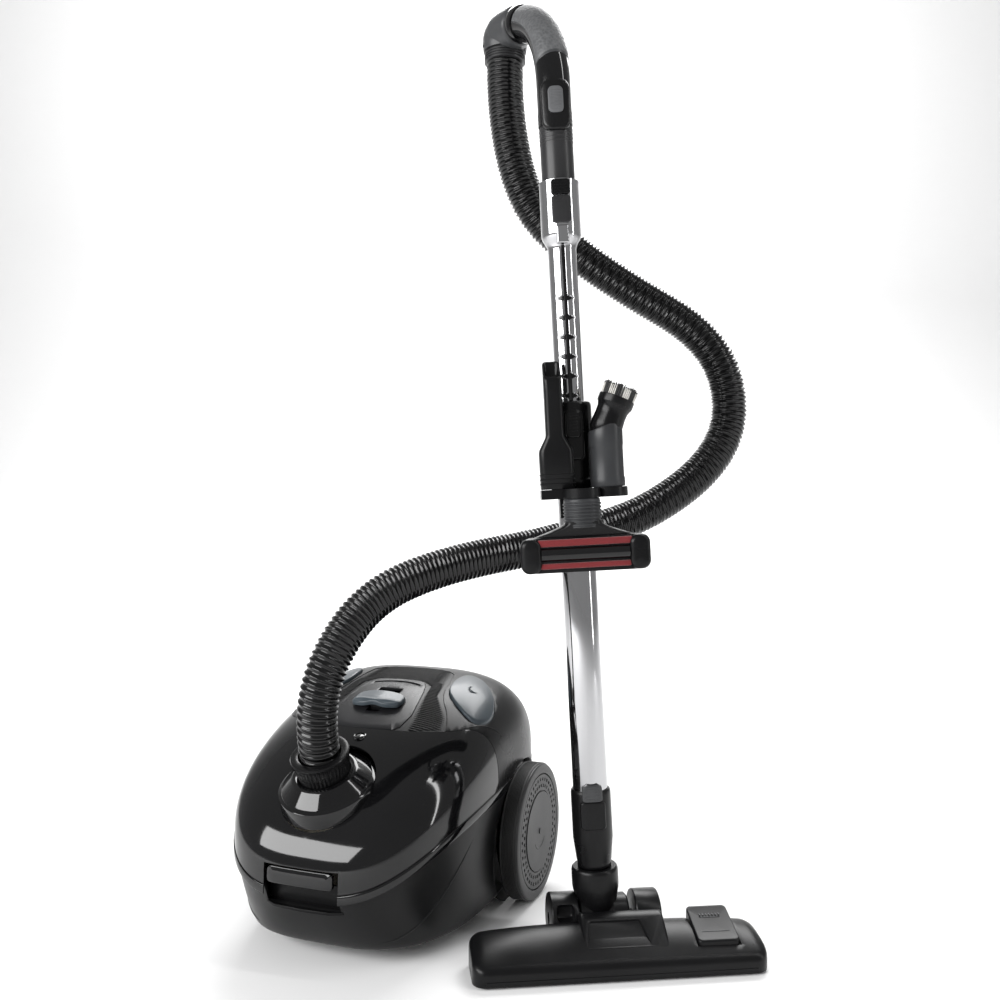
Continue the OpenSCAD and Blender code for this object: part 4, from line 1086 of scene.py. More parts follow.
def tube(name, line, radiusAt, sides=64, firstSide=Vector((1, 0, 0)), place=canFrame,
         capStart=True, capEnd=True, sharpAngle=38):
    # skins a line; radiusAt gives the radius for a share of the length and an angle
    frames = sweepFrames(line, firstSide)
    rings = []
    for k, spot in enumerate(line):
        side, up = frames[k][:2]
        ring = []
        for i in range(sides):
            a = 2 * math.pi * i / sides
            r = radiusAt(k / (len(line) - 1), a)
            ring.append(spot + side * (r * math.cos(a)) + up * (r * math.sin(a)))
        rings.append(ring)
    return loft(name, rings, place, capStart, capEnd, False, sharpAngle)


def front(x, y, z, turnZ=0):
    # a place on the wand's near side: local x across, local y up, local z toward the viewer
    return wandFrame @ moved(x, y, z) @ turned(turnZ, "Z") @ turned(90, "X")


def flat(x, y):
    return 0


def ribbed(name, width, reach, count, level, place, finish, body):
    # a row of low bars across a button
    bars = []
    for k in range(count):
        y = -reach + 2 * reach * k / (count - 1)
        bars.append(roundBox("bar", (-width / 2, y - 0.55, level - 0.6), (width / 2, y + 0.55, level + 0.45),
                             0.25, place, 2))
    grips = joined(name, *bars)
    piece(smoothed(grips, 60), body, finish, [])


handleFacts = {"radius": 17, "bandFrom": 0.555, "gripFrom": 0.07, "gripTo": 0.545, "lead": 85}
archFrom = wandSpot(0, 0, 868)
archLead = wandSpot(0, 0, 868 + handleFacts["lead"])
archTo = hoseEnd + Vector((0, 0, 26))
archOver = archTo + Vector((10, -8, 13))


def archSpot(t):
    s = 1 - t
    return (archFrom * s ** 3 + archLead * (3 * s * s * t) + archOver * (3 * s * t * t)
            + archTo * t ** 3)


def bandShare(t, low, high):
    return min(1, max(0, (t - low) / (high - low)))


def makeHandle():
    count = 96
    bend = [archSpot(t / count) for t in range(count + 1)]
    plane = (archTo - archFrom).cross(Vector((0, 0, 1))).normalized()
    stem = [wandSpot(0, 0, 823 + 45 * k / 12) for k in range(12)]
    black = stem + bend[:int(count * 0.68)]
    radius = handleFacts["radius"]
    handle = tube("handleShell", black,
                  lambda s, a: radius + 0.35 * math.cos(2 * a) * bandShare(s, 0.1, 0.4),
                  72, plane)
    rings = []
    for k in range(4):
        rings.append(lathe("ring", [(16.2, 0), (17.25, 0.3), (17.35, 1.2), (17.25, 2.1), (16.2, 2.4)],
                           wandFrame @ moved(0, 0, 823.5 + 3.6 * k), 72, 38, True))
    handle = joined("handleShell", handle, *rings)
    piece(smoothed(handle), "base", glossBlack, ["handle_body"])

    # the broad black band where the grip meets the dome
    line = [archSpot(handleFacts["bandFrom"] + 0.105 * k / 16) for k in range(17)]
    band = tube("domeBand", line,
                lambda s, a: radius - 0.5 + 3 * math.sin(math.pi * min(1, 0.12 + s * 0.95)) ** 0.5,
                72, plane)
    piece(band, "base", glossBlack, [])

    # the hood over the hose swivel
    line = [archSpot(0.65 + 0.35 * k / 30) for k in range(31)]
    last = line[-1]
    line += [last + Vector((0, 0, -1)) * (1.5 * k) for k in range(1, 10)]

    def hoodRadius(s, a):
        swell = radius + 2 + 5.2 * bandShare(s, 0, 0.5) ** 0.6
        return swell - 0.8 * bandShare(s, 0.9, 1) - 1.5 * (1 - bandShare(s, 0, 0.03))
    hood = tube("swivelHood", line, hoodRadius, 72, plane)
    slot = roundBox("slotMark", (-1.3, -5, -0.6), (1.3, 5, 0.5), 0.5,
                    canFrame @ Matrix.Translation((hoseEnd + Vector((-19.5, -13.5, 21))) * mm)
                    @ turned(-52, "Z") @ turned(80, "X"))
    piece(hood, "base", domeGrey, ["swivel_dome"])
    piece(slot, "base", handleBlack, [])
    profile = [(16.5, 0.2), (21.2, 0.2)]
    for k in range(4):
        z = 0.8 + 2.7 * k
        profile += [(22.4, z), (22.4, z + 1.4), (21.3, z + 1.9), (21.3, z + 2.4)]
    profile += [(22.3, 11.8), (16.5, 11.8)]
    ring = lathe("hoseSwivelRing", profile,
                 canFrame @ Matrix.Translation(hoseEnd * mm), 96, 35, True)
    piece(ring, "ring", tubeGrey, ["swivel_ring"])

    def gripPatch(name, extra, margin, finish, nodes):
        rows, columns = 60, 44
        skin, under = [], []
        for k in range(rows + 1):
            outerRow, innerRow = [], []
            for i in range(columns + 1):
                across = -1 + 2 * i / columns
                half = math.radians(96 + margin)
                arched = 0.03 * (1 - across ** 2)
                low = handleFacts["gripFrom"] - margin * 0.0012 + arched
                high = handleFacts["gripTo"] + margin * 0.0004
                t = low + (high - low) * k / rows
                spot = archSpot(t)
                way = (archSpot(t + 0.01) - archSpot(t - 0.01)).normalized()
                outward = plane.cross(way).normalized()
                if outward.dot(spot - (archFrom + archTo) / 2) < 0:
                    outward = -outward
                a = across * half
                direction = outward * math.cos(a) + plane * math.sin(a)
                edge = min(1, min(k, rows - k) / 3, min(i, columns - i) / 3)
                lift = extra * edge ** 0.5
                outerRow.append(spot + direction * (radius + 0.1 + lift))
                innerRow.append(spot + direction * (radius - 1.2))
            skin.append(outerRow)
            under.append(innerRow)
        points = [p for row in skin for p in row] + [p for row in under for p in row]
        wide = columns + 1
        total = (rows + 1) * wide
        faces = []
        for k in range(rows):
            for i in range(columns):
                a = k * wide + i
                faces.append((a, a + 1, a + wide + 1, a + wide))
                faces.append((total + a + wide, total + a + wide + 1, total + a + 1, total + a))
        for k in range(rows):
            for i in (0, columns):
                a = k * wide + i
                faces.append((a, a + wide, total + a + wide, total + a))
        for i in range(columns):
            for k in (0, rows):
                a = k * wide + i
                faces.append((a, a + 1, total + a + 1, total + a))
        patch = meshObject(name, points, faces, canFrame, 50)
        piece(patch, "base", finish, nodes)

    gripPatch("gripLip", 0.5, 6, domeGrey, [])
    gripPatch("gripInsert", 1.1, 0, gripGrey, ["grip_insert"])
    print("handle made")


def makeSlider():
    outline = roundRect(29, 50, 9, 8)
    outline = [(x * (1 - 0.05 * (y < 0)), y) for x, y in outline]
    cushionPatch("sliderHousing", outline, 7.4, 2.6, 9, handleBlack, "base",
                 ["slider_housing"],
                 lambda x, y: -0.012 * x * x, front(0, -13, 840))
    cushionPatch("airSlider", roundRect(15, 26, 5, 6), 1.9, 1.2, 2.4, valveGrey, "air_valve",
                 ["air_slider"],
                 lambda x, y: -0.010 * x * x, front(0, -20.2, 844))
    ribbed("airSliderRibs", 10, 9, 7, 1.75, front(0, -20.2, 844), valveGrey, "air_valve")
    profile = [(12, 718), (16.2, 718), (16.5, 719), (16.5, 804)]
    for k in range(4):
        z = 806 + 4 * k
        profile += [(16.5, z), (16.9, z + 0.4), (16.9, z + 1.7), (16.5, z + 2.1)]
    profile += [(16.5, 822.5), (12, 822.5)]
    sleeve = lathe("handleTube", profile, wandFrame, 96, 38, True)
    piece(sleeve, "base", tubeGrey, ["handle_tube"])
    print("slider made")


def lensFloor(outline, place):
    # the dark bottom of one stop, bent round the tube
    rings = []
    for lift, share in ((-1.4, 1), (-0.75, 1), (-0.7, 0.96), (-0.7, 0.5), (-0.7, 0.02)):
        rings.append([(x * share, y * share,
                       math.sqrt(14.25 ** 2 - (x * share) ** 2) - 14.25 + lift) for x, y in outline])
    return loft("lens", rings, place)


def makeInnerTube():
    heights = [400, 401, 420, 460, 500, 540]
    heights += [545 + 0.7 * k for k in range(172)]
    heights += [668, 690, 699, 700.5, 703, 706, 709, 711.5, 713.5, 715, 718, 730, 750, 762, 764.5,
                766, 766.9, 766.9, 766]
    stops = [553.4 + 19.4 * k for k in range(6)]
    sides = 144
    rings = []
    for index, z in enumerate(heights):
        if z <= 700:
            base = 14.25
        elif z < 715:
            base = 14.25 + 5.75 * (0.5 - 0.5 * math.cos(math.pi * (z - 700) / 15))
        else:
            base = 20
        if index >= len(heights) - 2:
            base = 18.6
        elif index >= len(heights) - 4:
            base = 20.35
        ring = []
        for i in range(sides):
            a = 2 * math.pi * i / sides
            across = math.asin(math.sin(a + math.pi / 2)) * 14.25 if math.sin(a) < 0 else 99
            r = base
            if z < 704:
                deep = 0.9 / (1 + (across / 1.8) ** 8)
                for stop in stops:
                    dz = (z - stop) / 2.8
                    if abs(dz) < 1:
                        lens = 7.5 * (1 - dz * dz)
                        deep = max(deep, 1.2 / (1 + (across / max(0.3, lens)) ** 12))
                r -= deep
            ring.append((r * math.cos(a), r * math.sin(a), z))
        rings.append(ring)
    rings += [[(18.6 * math.cos(2 * math.pi * i / sides), 18.6 * math.sin(2 * math.pi * i / sides), z)
               for i in range(sides)] for z in (760, 722)]
    pipe = loft("innerTube", rings, wandFrame, True, True, False, 30)
    lines = [roundBox("channelFloor", (-1.5, -14.3, 546), (1.5, -13.1, 703), 0.3, wandFrame, 2)]
    lens = [(6.9 * math.cos(a), 2.5 * math.sin(a)) for a in eachAngle(40)]
    for stop in stops:
        lines.append(lensFloor(lens, front(0, -14.25, stop)))
    channel = joined("stopChannel", *lines)
    piece(smoothed(channel), "base", handleBlack, [])
    bridge = roundBox("bridge", (-6, -21.4, 703), (6, -13.5, 721), 1.6, wandFrame, 4)
    pipe = joined("innerTube", pipe, bridge)
    piece(smoothed(pipe, 30), "base", chrome, ["inner_tube"])
    cushionPatch("socketButton", roundRect(19, 15, 3, 6), 3.6, 1.3, 4, toolBlack, "handle_button",
                 ["socket_button"],
                 flat, front(0, -20.2, 758), 0.3)
    ribbed("socketButtonRibs", 13, 4.6, 4, 3.7, front(0, -20.2, 758), toolBlack, "handle_button")
    plate = cushionPatch("socketPlate", roundRect(19, 26, 2.5, 6), 3, 1, 4, tubeGrey,
                         "handle_button", [], lambda x, y: -0.01 * x * x,
                         front(0, -20.2, 736.5))
    print("inner tube made")


def makeOuterTube():
    pipe = lathe("outerTube", [(16.5, 118), (17.3, 118), (17.5, 118.8), (17.5, 519), (17.2, 519.8),
                               (16.5, 520)], wandFrame, 128, 38, True)
    piece(pipe, "wand", chrome, ["outer_tube"])
    collar = lathe("telescopeCollar", [
        (17.6, 461.6), (20.4, 461.6), (21, 462.4), (21, 470), (20.2, 471), (19.7, 473),
        (19.7, 505), (20.4, 509), (21, 511), (21, 543), (20.6, 545.6), (19.4, 547.4), (17.6, 548),
        (14.6, 548), (14.6, 521), (17.6, 521)
    ], wandFrame, 96, 38, True)
    piece(collar, "wand", handleBlack, ["telescope_collar"])
    cushionPatch("collarFront", roundRect(21, 50, 6, 6), 3.6, 2, 8, handleBlack, "wand", [],
                 lambda x, y: -0.014 * x * x, front(0, -18.5, 514))
    cushionPatch("telescopeSlider", roundRect(15, 26, 4, 6), 2.6, 1.4, 3, handleBlack,
                 "telescope_button", ["telescope_slider"],
                 lambda x, y: -0.01 * x * x, front(0, -21.6, 524))
    ribbed("telescopeSliderRibs", 10, 9, 7, 2.5, front(0, -21.6, 524), handleBlack,
           "telescope_button")
    print("outer tube made")


def rectRing(width, deep, radius, z, x=0, y=0, tilt=0):
    return [(px, py, z + tilt * (px - x)) for px, py in roundRect(width, deep, radius, 8, x, y)]


def makeCrevice():
    x, y = -19, -33
    rings = [rectRing(14, 10, 3, 461.6, x, y)]
    for width, deep, z in [(31.8, 20.8, 461.6), (33, 22, 462.8), (33, 22, 497), (32.2, 21.6, 499.6),
                           (19, 20.4, 512), (18, 20.4, 514.4), (17.6, 21, 556)]:
        rings.append(rectRing(width, deep, min(width, deep) * 0.26, z, x, y))
    for width, deep, z in [(17.6, 21.4, 576), (17.2, 21, 577.4), (14.6, 18.4, 577.8),
                           (14, 17.8, 576.6), (13.6, 17.4, 556)]:
        rings.append([(px, py, z + 0.92 * (py - y)) for px, py, _ in
                      rectRing(width, deep, 4, z, x, y)])
    tool = loft("creviceTool", rings, wandFrame, True, True, False, 35)
    ribs = [roundBox("rib", (x - 16.9, y - 11.4, 466 + 4.4 * k), (x + 16.9, y + 11.4, 467.8 + 4.4 * k),
                     0.8, wandFrame, 2) for k in range(3)]
    tool = joined("creviceTool", tool, *ribs)
    piece(smoothed(tool), "crevice", toolBlack, ["crevice_tool"])
    throat = loft("creviceThroat", [
        [(px, py, z + 0.92 * (py - y)) for px, py, _ in rectRing(14.1, 17.9, 4, z, x, y)]
        for z in (562, 566)], wandFrame)
    piece(throat, "crevice", windowDark, [])
    print("crevice tool made")


def makeBrush():
    x, y = 31, -24.5
    rings = []
    for radius, z, slope in [(13, 461.6, 0), (16.6, 461.6, 0), (17, 462.6, 0), (17, 470, 0),
                             (16.4, 471.4, 0), (16.4, 500, 0), (16.9, 502, 0.1), (16.9, 519.4, 0.31),
                             (16.2, 521.2, 0.31), (13, 521.4, 0.31)]:
        rings.append([(px, py, z + slope * (px - x)) for px, py in circle(radius, 80, x, y)])
    stem = loft("brushBody", rings, wandFrame)
    piece(stem, "brush", toolGrey, ["brush_body"])
    lean = wandFrame @ moved(x, y, 518) @ turned(24, "Y")
    neck = lathe("brushNeck", [(0, -6), (13, -6), (15.6, -1), (15.9, 6), (15.3, 14), (15.5, 20),
                               (16.6, 23.4), (17.6, 25), (17.9, 26), (17.9, 32.4), (17.2, 33), (0, 33)],
                 lean, 96)
    piece(neck, "brush", toolBlack, [])
    tufts, pale = [], []
    for ring, (radius, count) in enumerate(((16.4, 56), (15, 48), (12.2, 36), (8.6, 26), (4.5, 14))):
        for k in range(count):
            a = 2 * math.pi * (k + 0.5 * (ring % 2)) / count
            spread = 0.02 + 0.05 * random.random()
            light = ring < 2 and (k // 4) % 2
            height = (9.6 if light else 12.4) + 1.2 * random.random()
            bx, by = radius * math.cos(a), radius * math.sin(a)
            scale = min(1 + spread, 17.6 / radius)
            tx, ty = bx * scale, by * scale
            rows = []
            for r, px, py, pz in ((0.72, bx, by, 32), (0.7, (bx + tx) / 2, (by + ty) / 2, 32 + height / 2),
                                  (0.42, tx, ty, 32 + height)):
                rows.append([(px + r * math.cos(i * math.pi / 2.5), py + r * math.sin(i * math.pi / 2.5),
                              pz) for i in range(5)])
            (pale if light else tufts).append(loft("tuft", rows, lean))
    bristles = joined("brushBristles", *tufts)
    piece(smoothed(bristles, 60), "brush", bristleBlack, ["brush_bristles"])
    lighter = joined("brushBristlesPale", *pale)
    piece(smoothed(lighter, 60), "brush", feltPale, [])
    print("brush made")


def makeUpholstery():
    x, y, mid = 3, -44, 399
    # the head lies on its back: its suction face looks at the viewer
    place = front(x, y, mid)
    rings = []
    for width, high, depth in [(100, 16, -17), (112, 28, -16.4), (119, 31.5, -13), (122.6, 33.4, -7),
                               (124, 34, 0), (124, 34, 9.5), (123.4, 33.4, 11.6), (121, 31, 12.6),
                               (110, 20, 12.8)]:
        rings.append([(px, py, depth) for px, py in roundRect(width, high, high * 0.34, 10)])
    head = loft("upholsteryHead", rings, place, True, True, False, 32)
    cheeks = []
    for side in (-1, 1):
        rings = []
        for width, high, depth in [(19, 32, 8), (20, 33.6, 11), (20, 33.6, 13), (18.6, 32, 15.6),
                                   (15.4, 28.6, 17.2), (11, 24, 17.8), (2, 10, 18)]:
            rings.append([(px, py, depth) for px, py in
                          roundRect(width, high, width * 0.42, 8, side * 51.8, 0)])
        cheeks.append(loft("cheek", rings, place))
    # the round glossy bar across the mouth
    line = [Vector((-42 + 84 * k / 12, 0.6, 10)) for k in range(13)]
    roll = tube("mouthRoll", line, lambda s, a: 6.9, 48, Vector((0, 1, 0)), place)
    # sloping shoulders up to the neck
    rings = []
    for half, high, deep in [(50, 15, 9), (47, 17.2, 10), (36, 21, 11.4), (24, 25.4, 13.6),
                             (18.4, 28.6, 15.4), (17.6, 31, 16)]:
        rings.append([(px, high, py) for px, py in roundRect(2 * half, 2 * deep, deep * 0.6, 8)])
    shoulder = loft("shoulder", rings, place)
    head = joined("upholsteryHead", head, *cheeks, shoulder)
    piece(smoothed(head, 32), "upholstery", toolBlack, ["upholstery_tool"])
    piece(roll, "upholstery", glossBlack, [])
    profile = [(14, 424), (17.4, 424)]
    for k in range(7):
        z = 425.4 + 3.3 * k
        profile += [(17.4, z), (18.4, z + 0.5), (18.4, z + 1.9), (17.4, z + 2.4)]
    profile += [(17.6, 449), (17.2, 451), (16.4, 451.8), (14, 451.8)]
    socket = lathe("upholsteryNeck", profile, wandFrame @ moved(x, y, 0), 96, 38, True)
    piece(socket, "upholstery", toolGrey, [])
    strips = [roundBox("strip", (-45, 8.2, 10.6), (45, 15, 15.2), 1.4, place, 4),
              roundBox("strip", (-43, -13, 10.6), (43, -7.6, 15), 1.4, place, 4)]
    strip = joined("lintStrips", *strips)
    piece(smoothed(strip, 60), "upholstery", lintRed, ["lint_strips"])
    print("upholstery tool made")


def makeHolder():
    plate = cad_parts["accessory_holder"]
    dressed("accessory_holder", toolBlack)
    # the little saddle in front of the plate
    cushionPatch("holderClip", roundRect(11, 20, 3, 6), 5, 1.4, 9, toolBlack, "wand", [],
                 flat, front(-9, -21, 466))
    return plate


def makeNeck():
    sleeve = lathe("nozzleNeck", [
        (12, 82), (16.4, 82), (17, 82.8), (17, 86), (17.6, 90), (19.6, 108), (20, 111), (20, 156),
        (19.6, 158.6), (18.6, 160), (17.7, 160), (17.6, 118.2), (12, 118.2)
    ], wandFrame, 96, 38, True)
    piece(sleeve, "wand", toolBlack, ["nozzle_neck"])
    cushionPatch("neckLatch", roundRect(25, 28, 4, 6), 4.4, 1.6, 8, toolBlack, "wand", [],
                 lambda x, y: -0.012 * x * x, front(0, -17, 137))
    cushionPatch("neckButton", roundRect(20, 16, 3, 6), 4.6, 1.3, 8, domeGrey, "tube_button",
                 ["neck_button"], lambda x, y: -0.012 * x * x, front(0, -17.2, 159))
    ribbed("neckButtonRibs", 14, 5, 4, 4.2, front(0, -17.2, 159), domeGrey, "tube_button")
    print("neck made")


makeHandle()
makeSlider()
makeInnerTube()
makeOuterTube()
makeCrevice()
makeBrush()
makeUpholstery()
makeHolder()
makeNeck()

# floor nozzle

nozzleFacts = {"left": -138, "right": 145.5, "front": -79, "back": -20, "high": 36, "sole": 1.2}


def nozzleSection(shrink, x):
    # the closed outline of the bar in a plane across it, front to back
    share = (x - nozzleFacts["left"]) / (nozzleFacts["right"] - nozzleFacts["left"])
    frontY = nozzleFacts["front"] + shrink
    backY = nozzleFacts["back"] - shrink * 0.7
    top = nozzleFacts["high"] - shrink * 0.55 - 5.5 * abs(2 * share - 1) ** 3
    low = nozzleFacts["sole"]
    points = [(backY, low), (frontY + 2, low), (frontY + 0.4, low + 0.8), (frontY, low + 2.4),
              (frontY, low + 11), (frontY + 0.8, low + 14.5), (frontY + 3, low + 17.4),
              (frontY + 7, low + 19.6)]
    for k in range(1, 8):
        t = k / 7
        points.append((frontY + 7 + (backY - 8 - frontY - 7) * t,
                       low + 19.6 + (top - low - 19.6) * math.sin(math.pi / 2 * t) ** 0.9))
    points += [(backY - 3, top - 1.2), (backY - 0.8, top - 4), (backY, top - 8)]
    return [(x, y, z) for y, z in points]


def roundedCorners(points, radius):
    # a closed outline with each corner cut by a short curve
    out = []
    n = len(points)
    for k in range(n):
        a, b, c = Vector(points[k - 1]), Vector(points[k]), Vector(points[(k + 1) % n])
        one = b + (a - b).normalized() * radius
        two = b + (c - b).normalized() * radius
        for i in range(6):
            t = i / 5
            spot = one * (1 - t) ** 2 + b * (2 * t * (1 - t)) + two * t ** 2
            out.append((spot.x, spot.y))
    return out


def makeNozzle():
    rings = []
    left, right = nozzleFacts["left"], nozzleFacts["right"]
    corner = 13
    for k in range(9):
        t = math.pi / 2 * k / 8
        rings.append(nozzleSection(corner * (1 - math.sin(t)), left + corner * (1 - math.cos(t))))
    for k in range(1, 40):
        rings.append(nozzleSection(0, left + corner + (right - left - 2 * corner) * k / 40))
    for k in range(9):
        t = math.pi / 2 * (8 - k) / 8
        rings.append(nozzleSection(corner * (1 - math.sin(t)), right - corner * (1 - math.cos(t))))
    bar = loft("nozzleBar", rings, nozzleFrame, True, True, False, 32)
    well = roundBox("cutter", (78.4, -65.6, 14), (121.6, -10, 60), 0, nozzleFrame)
    bar = cut(bar, well)
    softEdges(bar, 0.6, 2, 40)
    # a bumper line round its foot
    lips = [roundBox("lip", (left + 12, -79.6, 3.2), (right - 12, -78.4, 7.4), 0.5, nozzleFrame),
            roundBox("floor", (78, -64, 12), (122, -21, 15), 0.5, nozzleFrame)]
    bar = joined("nozzleBar", bar, *lips)
    piece(smoothed(bar), "nozzle", toolBlack, ["nozzle_body"])

    # the raised block in the middle, with a shallow blank panel on its slope
    def blockRing(x, shrink):
        outline = [(-67 + shrink, 8), (-67 + shrink, 21 - shrink * 0.4), (-64 + shrink, 25.6 - shrink),
                   (-36, 43.4 - shrink), (-30, 45.6 - shrink), (-25.4, 45.2 - shrink), (-24, 43 - shrink),
                   (-24, 8)]
        return [(x, py, pz) for py, pz in outline]
    rings = [blockRing(-30, 2.4), blockRing(-29.3, 1), blockRing(-28, 0.2), blockRing(-26.6, 0),
             blockRing(49, 0), blockRing(50.6, 0.2), blockRing(51.8, 1), blockRing(52.4, 2.4)]
    centre = loft("centreBlock", rings, nozzleFrame, True, True, False, 32)
    slope = math.degrees(math.atan2(17.8, 28))
    panelPlace = nozzleFrame @ moved(3, -50, 34.5) @ turned(slope, "X")
    panelOutline = roundedCorners([(-31, -14.4), (31, -14.4), (25, 13), (-25, 13)], 3)
    centre = cut(centre, slab("cutter", panelOutline, -1.6, 20, panelPlace))
    softEdges(centre, 0.5, 2, 40)
    centre = joined("nozzleCentre", centre)
    piece(smoothed(centre, 32), "nozzle", toolBlack, [])

    # the hinge ears: an open arch on the left, a closed cap on the right
    arch = []
    for low, high in ((-55.4, -27.2), (29.4, 55.8)):
        place = nozzleFrame @ moved(low, 0, 30) @ turned(90, "Y")
        wide = high - low
        arch.append(lathe("ear", [(6, 0.2), (21, 0.2), (24.2, 0.6), (25, 1.6), (25, wide - 2),
                                  (24, wide - 0.6), (22, wide - 0.2), (6, wide - 0.2)],
                          place, 96, 36, True))
        arch.append(roundBox("bridge", (low + 0.4, -36, 8), (high - 0.4, -4, 30), 3, nozzleFrame))
    ear = joined("hingeEars", *arch)
    hollow = roundBox("cutter", (-50.4, -40, 35.4), (-32.4, -12, 49.6), 4, nozzleFrame, 5)
    ear = cut(ear, hollow)
    piece(smoothed(ear), "nozzle", toolBlack, [])
    shine = lathe("earPin", [(0, -1), (4.6, -1), (4.6, 0.6), (3.8, 1.2), (0, 1.4)],
                  nozzleFrame @ moved(45, -24.2, 38) @ turned(72, "X"), 48)
    piece(shine, "nozzle", turnedSteel, [])

    # the rocker with a plain comb mark
    outline = roundRect(41, 46, 4, 6, 100, -42)

    def rockerTop(x, y):
        return 24.5 + 0.33 * (y + 64) + 1.2 * ((y + 42) / 22) ** 2
    cushionPatch("rockerPedal", outline, 3.6, 2, 9, toolBlack, "rocker", ["nozzle_pedal"],
                 rockerTop, nozzleFrame, 0, 16)
    marks = []
    for k in range(7):
        x = 90 + 3.2 * k
        top = rockerTop(x, -30)
        marks.append(roundBox("mark", (x, -33, top + 3.2), (x + 1.2, -27, top + 4), 0.3,
                              nozzleFrame, 2))
    marks.append(roundBox("mark", (90, -34.4, rockerTop(100, -34) + 3.2),
                          (110.4, -33, rockerTop(100, -34) + 4), 0.3, nozzleFrame, 2))
    marks.append(roundBox("mark", (86, -52.6, rockerTop(100, -52) + 3), (114, -51.6,
                          rockerTop(100, -52) + 3.9), 0.3, nozzleFrame, 2))
    mark = joined("rockerMarks", *marks)
    piece(smoothed(mark), "rocker", toolGrey, [])
    print("nozzle made")


def makeElbow():
    barrel = lathe("elbowBarrel", [(8, -24.8), (20.4, -24.8), (22, -23), (22, -9), (21.4, -8.4),
                                   (21.4, 8.4), (22, 9), (22, 23), (20.4, 24.8), (8, 24.8)],
                   nozzleFrame @ moved(-1, 0, 30) @ turned(90, "Y"), 96, 36, True)
    cup = lathe("cup", [(12, 32), (20, 32), (20.4, 46), (21.6, 54), (23, 60), (23.4, 64), (23.4, 78),
                        (22.8, 80.6), (21.6, 81.8), (17, 81.8), (17, 60), (12, 60)],
                wandFrame, 96, 36, True)
    elbow = joined("neckElbow", barrel, cup)
    piece(smoothed(elbow), "elbow", toolBlack, ["neck_elbow"])
    print("elbow made")


makeNozzle()
makeElbow()

# the pieces whose shape is already right, each given its finish

carried = {
    "exhaust_grille": coverBlack, "exhaust_filter": feltPale, "cord_outlet": handleBlack,
    "dust_bag": bagCloth, "bag_holder": toolGrey, "motor_filter": feltPale,
    "motor_housing": innerGrey, "motor_fan": turnedSteel, "cord_reel": innerGrey,
    "reel_bracket": toolGrey, "axle_left": turnedSteel, "axle_right": turnedSteel,
    "caster_fork": satinBlack, "caster_wheel": wheelGrey, "caster_axle": turnedSteel,
    "swivel_ring": handleBlack, "swivel_dome": domeGrey, "handle_body": handleBlack,
    "grip_insert": gripGrey, "slider_housing": handleBlack, "air_slider": blueGrey,
    "handle_tube": tubeGrey, "inner_tube": chrome, "socket_button": toolBlack,
    "outer_tube": chrome, "telescope_collar": handleBlack, "telescope_slider": toolGrey,
    "accessory_holder": toolBlack, "crevice_tool": toolBlack, "brush_body": toolGrey,
    "brush_bristles": bristleBlack, "upholstery_tool": toolBlack, "lint_strips": lintRed,
    "nozzle_neck": toolBlack, "neck_button": toolGrey, "neck_elbow": toolBlack,
    "nozzle_body": toolBlack, "nozzle_sole": brushedSole, "nozzle_bristles": bristleBlack,
    "nozzle_pedal": toolGrey, "nozzle_wheels": wheelGrey, "nozzle_axles": turnedSteel,
}
for node, finish in carried.items():
    dressed(node, finish)
print("carried pieces finished:", len(carried))

# floor, light and air

studio = {"floor": 0.88, "key": 66, "strip": 9, "rear": 150, "wall": 130, "air": 0.36}


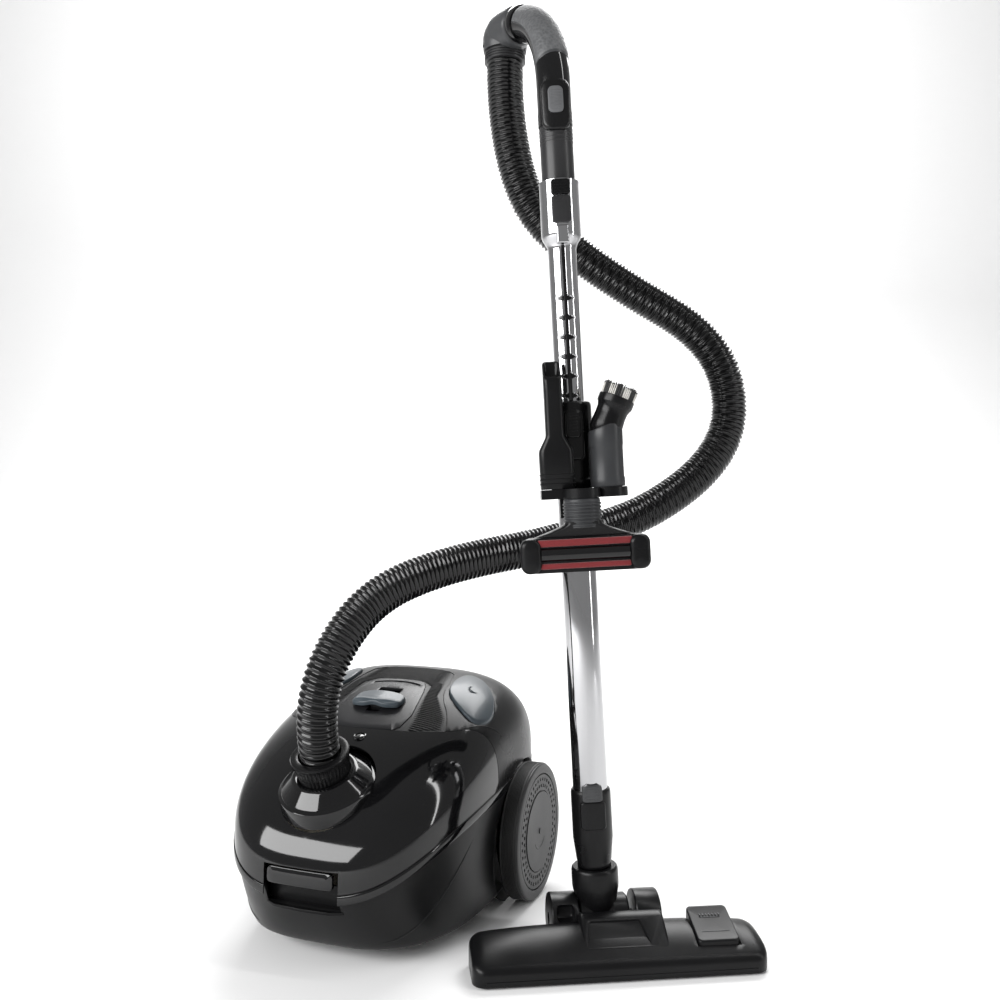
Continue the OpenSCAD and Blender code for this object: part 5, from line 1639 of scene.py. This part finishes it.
def makeFloor():
    floorMesh = bpy.data.meshes.new("floorSweep")
    rows = []
    reach = 9
    for y, z in [(-reach, 0), (3, 0)] + [
            (3 + 2 * math.sin(math.radians(9 * k)), 2 - 2 * math.cos(math.radians(9 * k)))
            for k in range(1, 11)] + [(5, 6)]:
        rows.append([(-reach, y, z), (reach, y, z)])
    points = [p for row in rows for p in row]
    faces = [(2 * k, 2 * k + 1, 2 * k + 3, 2 * k + 2) for k in range(len(rows) - 1)]
    turn = turned(21, "Z")
    floorMesh.from_pydata([turn @ Vector(p) for p in points], [], faces)
    floor = bpy.data.objects.new("floorSweep", floorMesh)
    bpy.context.scene.collection.objects.link(floor)
    for face in floorMesh.polygons:
        face.use_smooth = True
    paper, tree, shader = nodesOf("paper")
    grain = tree.nodes.new("ShaderNodeTexNoise")
    grain.inputs["Scale"].default_value = 220
    tint = tree.nodes.new("ShaderNodeValToRGB")
    tint.color_ramp.elements[0].color = [studio["floor"] - 0.01] * 3 + [1]
    tint.color_ramp.elements[1].color = [studio["floor"]] * 3 + [1]
    tree.links.new(grain.outputs["Fac"], tint.inputs["Fac"])
    tree.links.new(tint.outputs["Color"], shader.inputs["Base Color"])
    shader.inputs["Roughness"].default_value = 0.9
    floorMesh.materials.append(paper)


def softbox(name, spot, aim, width, height, power):
    data = bpy.data.lights.new(name, "AREA")
    data.shape = "RECTANGLE"
    data.size = width
    data.size_y = height
    data.energy = power
    lamp = bpy.data.objects.new(name, data)
    lamp.location = spot
    lamp.rotation_euler = (Vector(aim) - Vector(spot)).to_track_quat("-Z", "Y").to_euler()
    lamp.visible_camera = False
    bpy.context.scene.collection.objects.link(lamp)


makeFloor()
softbox("keySoftbox", (-1.14, -1.98, 1.13), (-0.1, -0.32, 0.12), 2.0, 1.0, studio["key"])
softbox("sideStrip", (1.3, -0.05, 1.18), (0, -0.15, 0.15), 0.08, 2.6, studio["strip"])
softbox("wallSoftbox", (-0.9, 1.9, 3.7), (-1.8, 4.9, 2.4), 3.4, 1.2, studio["wall"])
softbox("rearSoftbox", (-0.3, 2.4, 3.0), (0, 1, 0), 3.0, 1.6, studio["rear"])
air = bpy.data.worlds.new("air")
air.use_nodes = True
air.node_tree.nodes["Background"].inputs["Color"].default_value = (1, 1, 1, 1)
air.node_tree.nodes["Background"].inputs["Strength"].default_value = studio["air"]
bpy.context.scene.world = air
bpy.context.scene.view_settings.view_transform = "Standard"
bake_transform(hose)
print("studio ready")
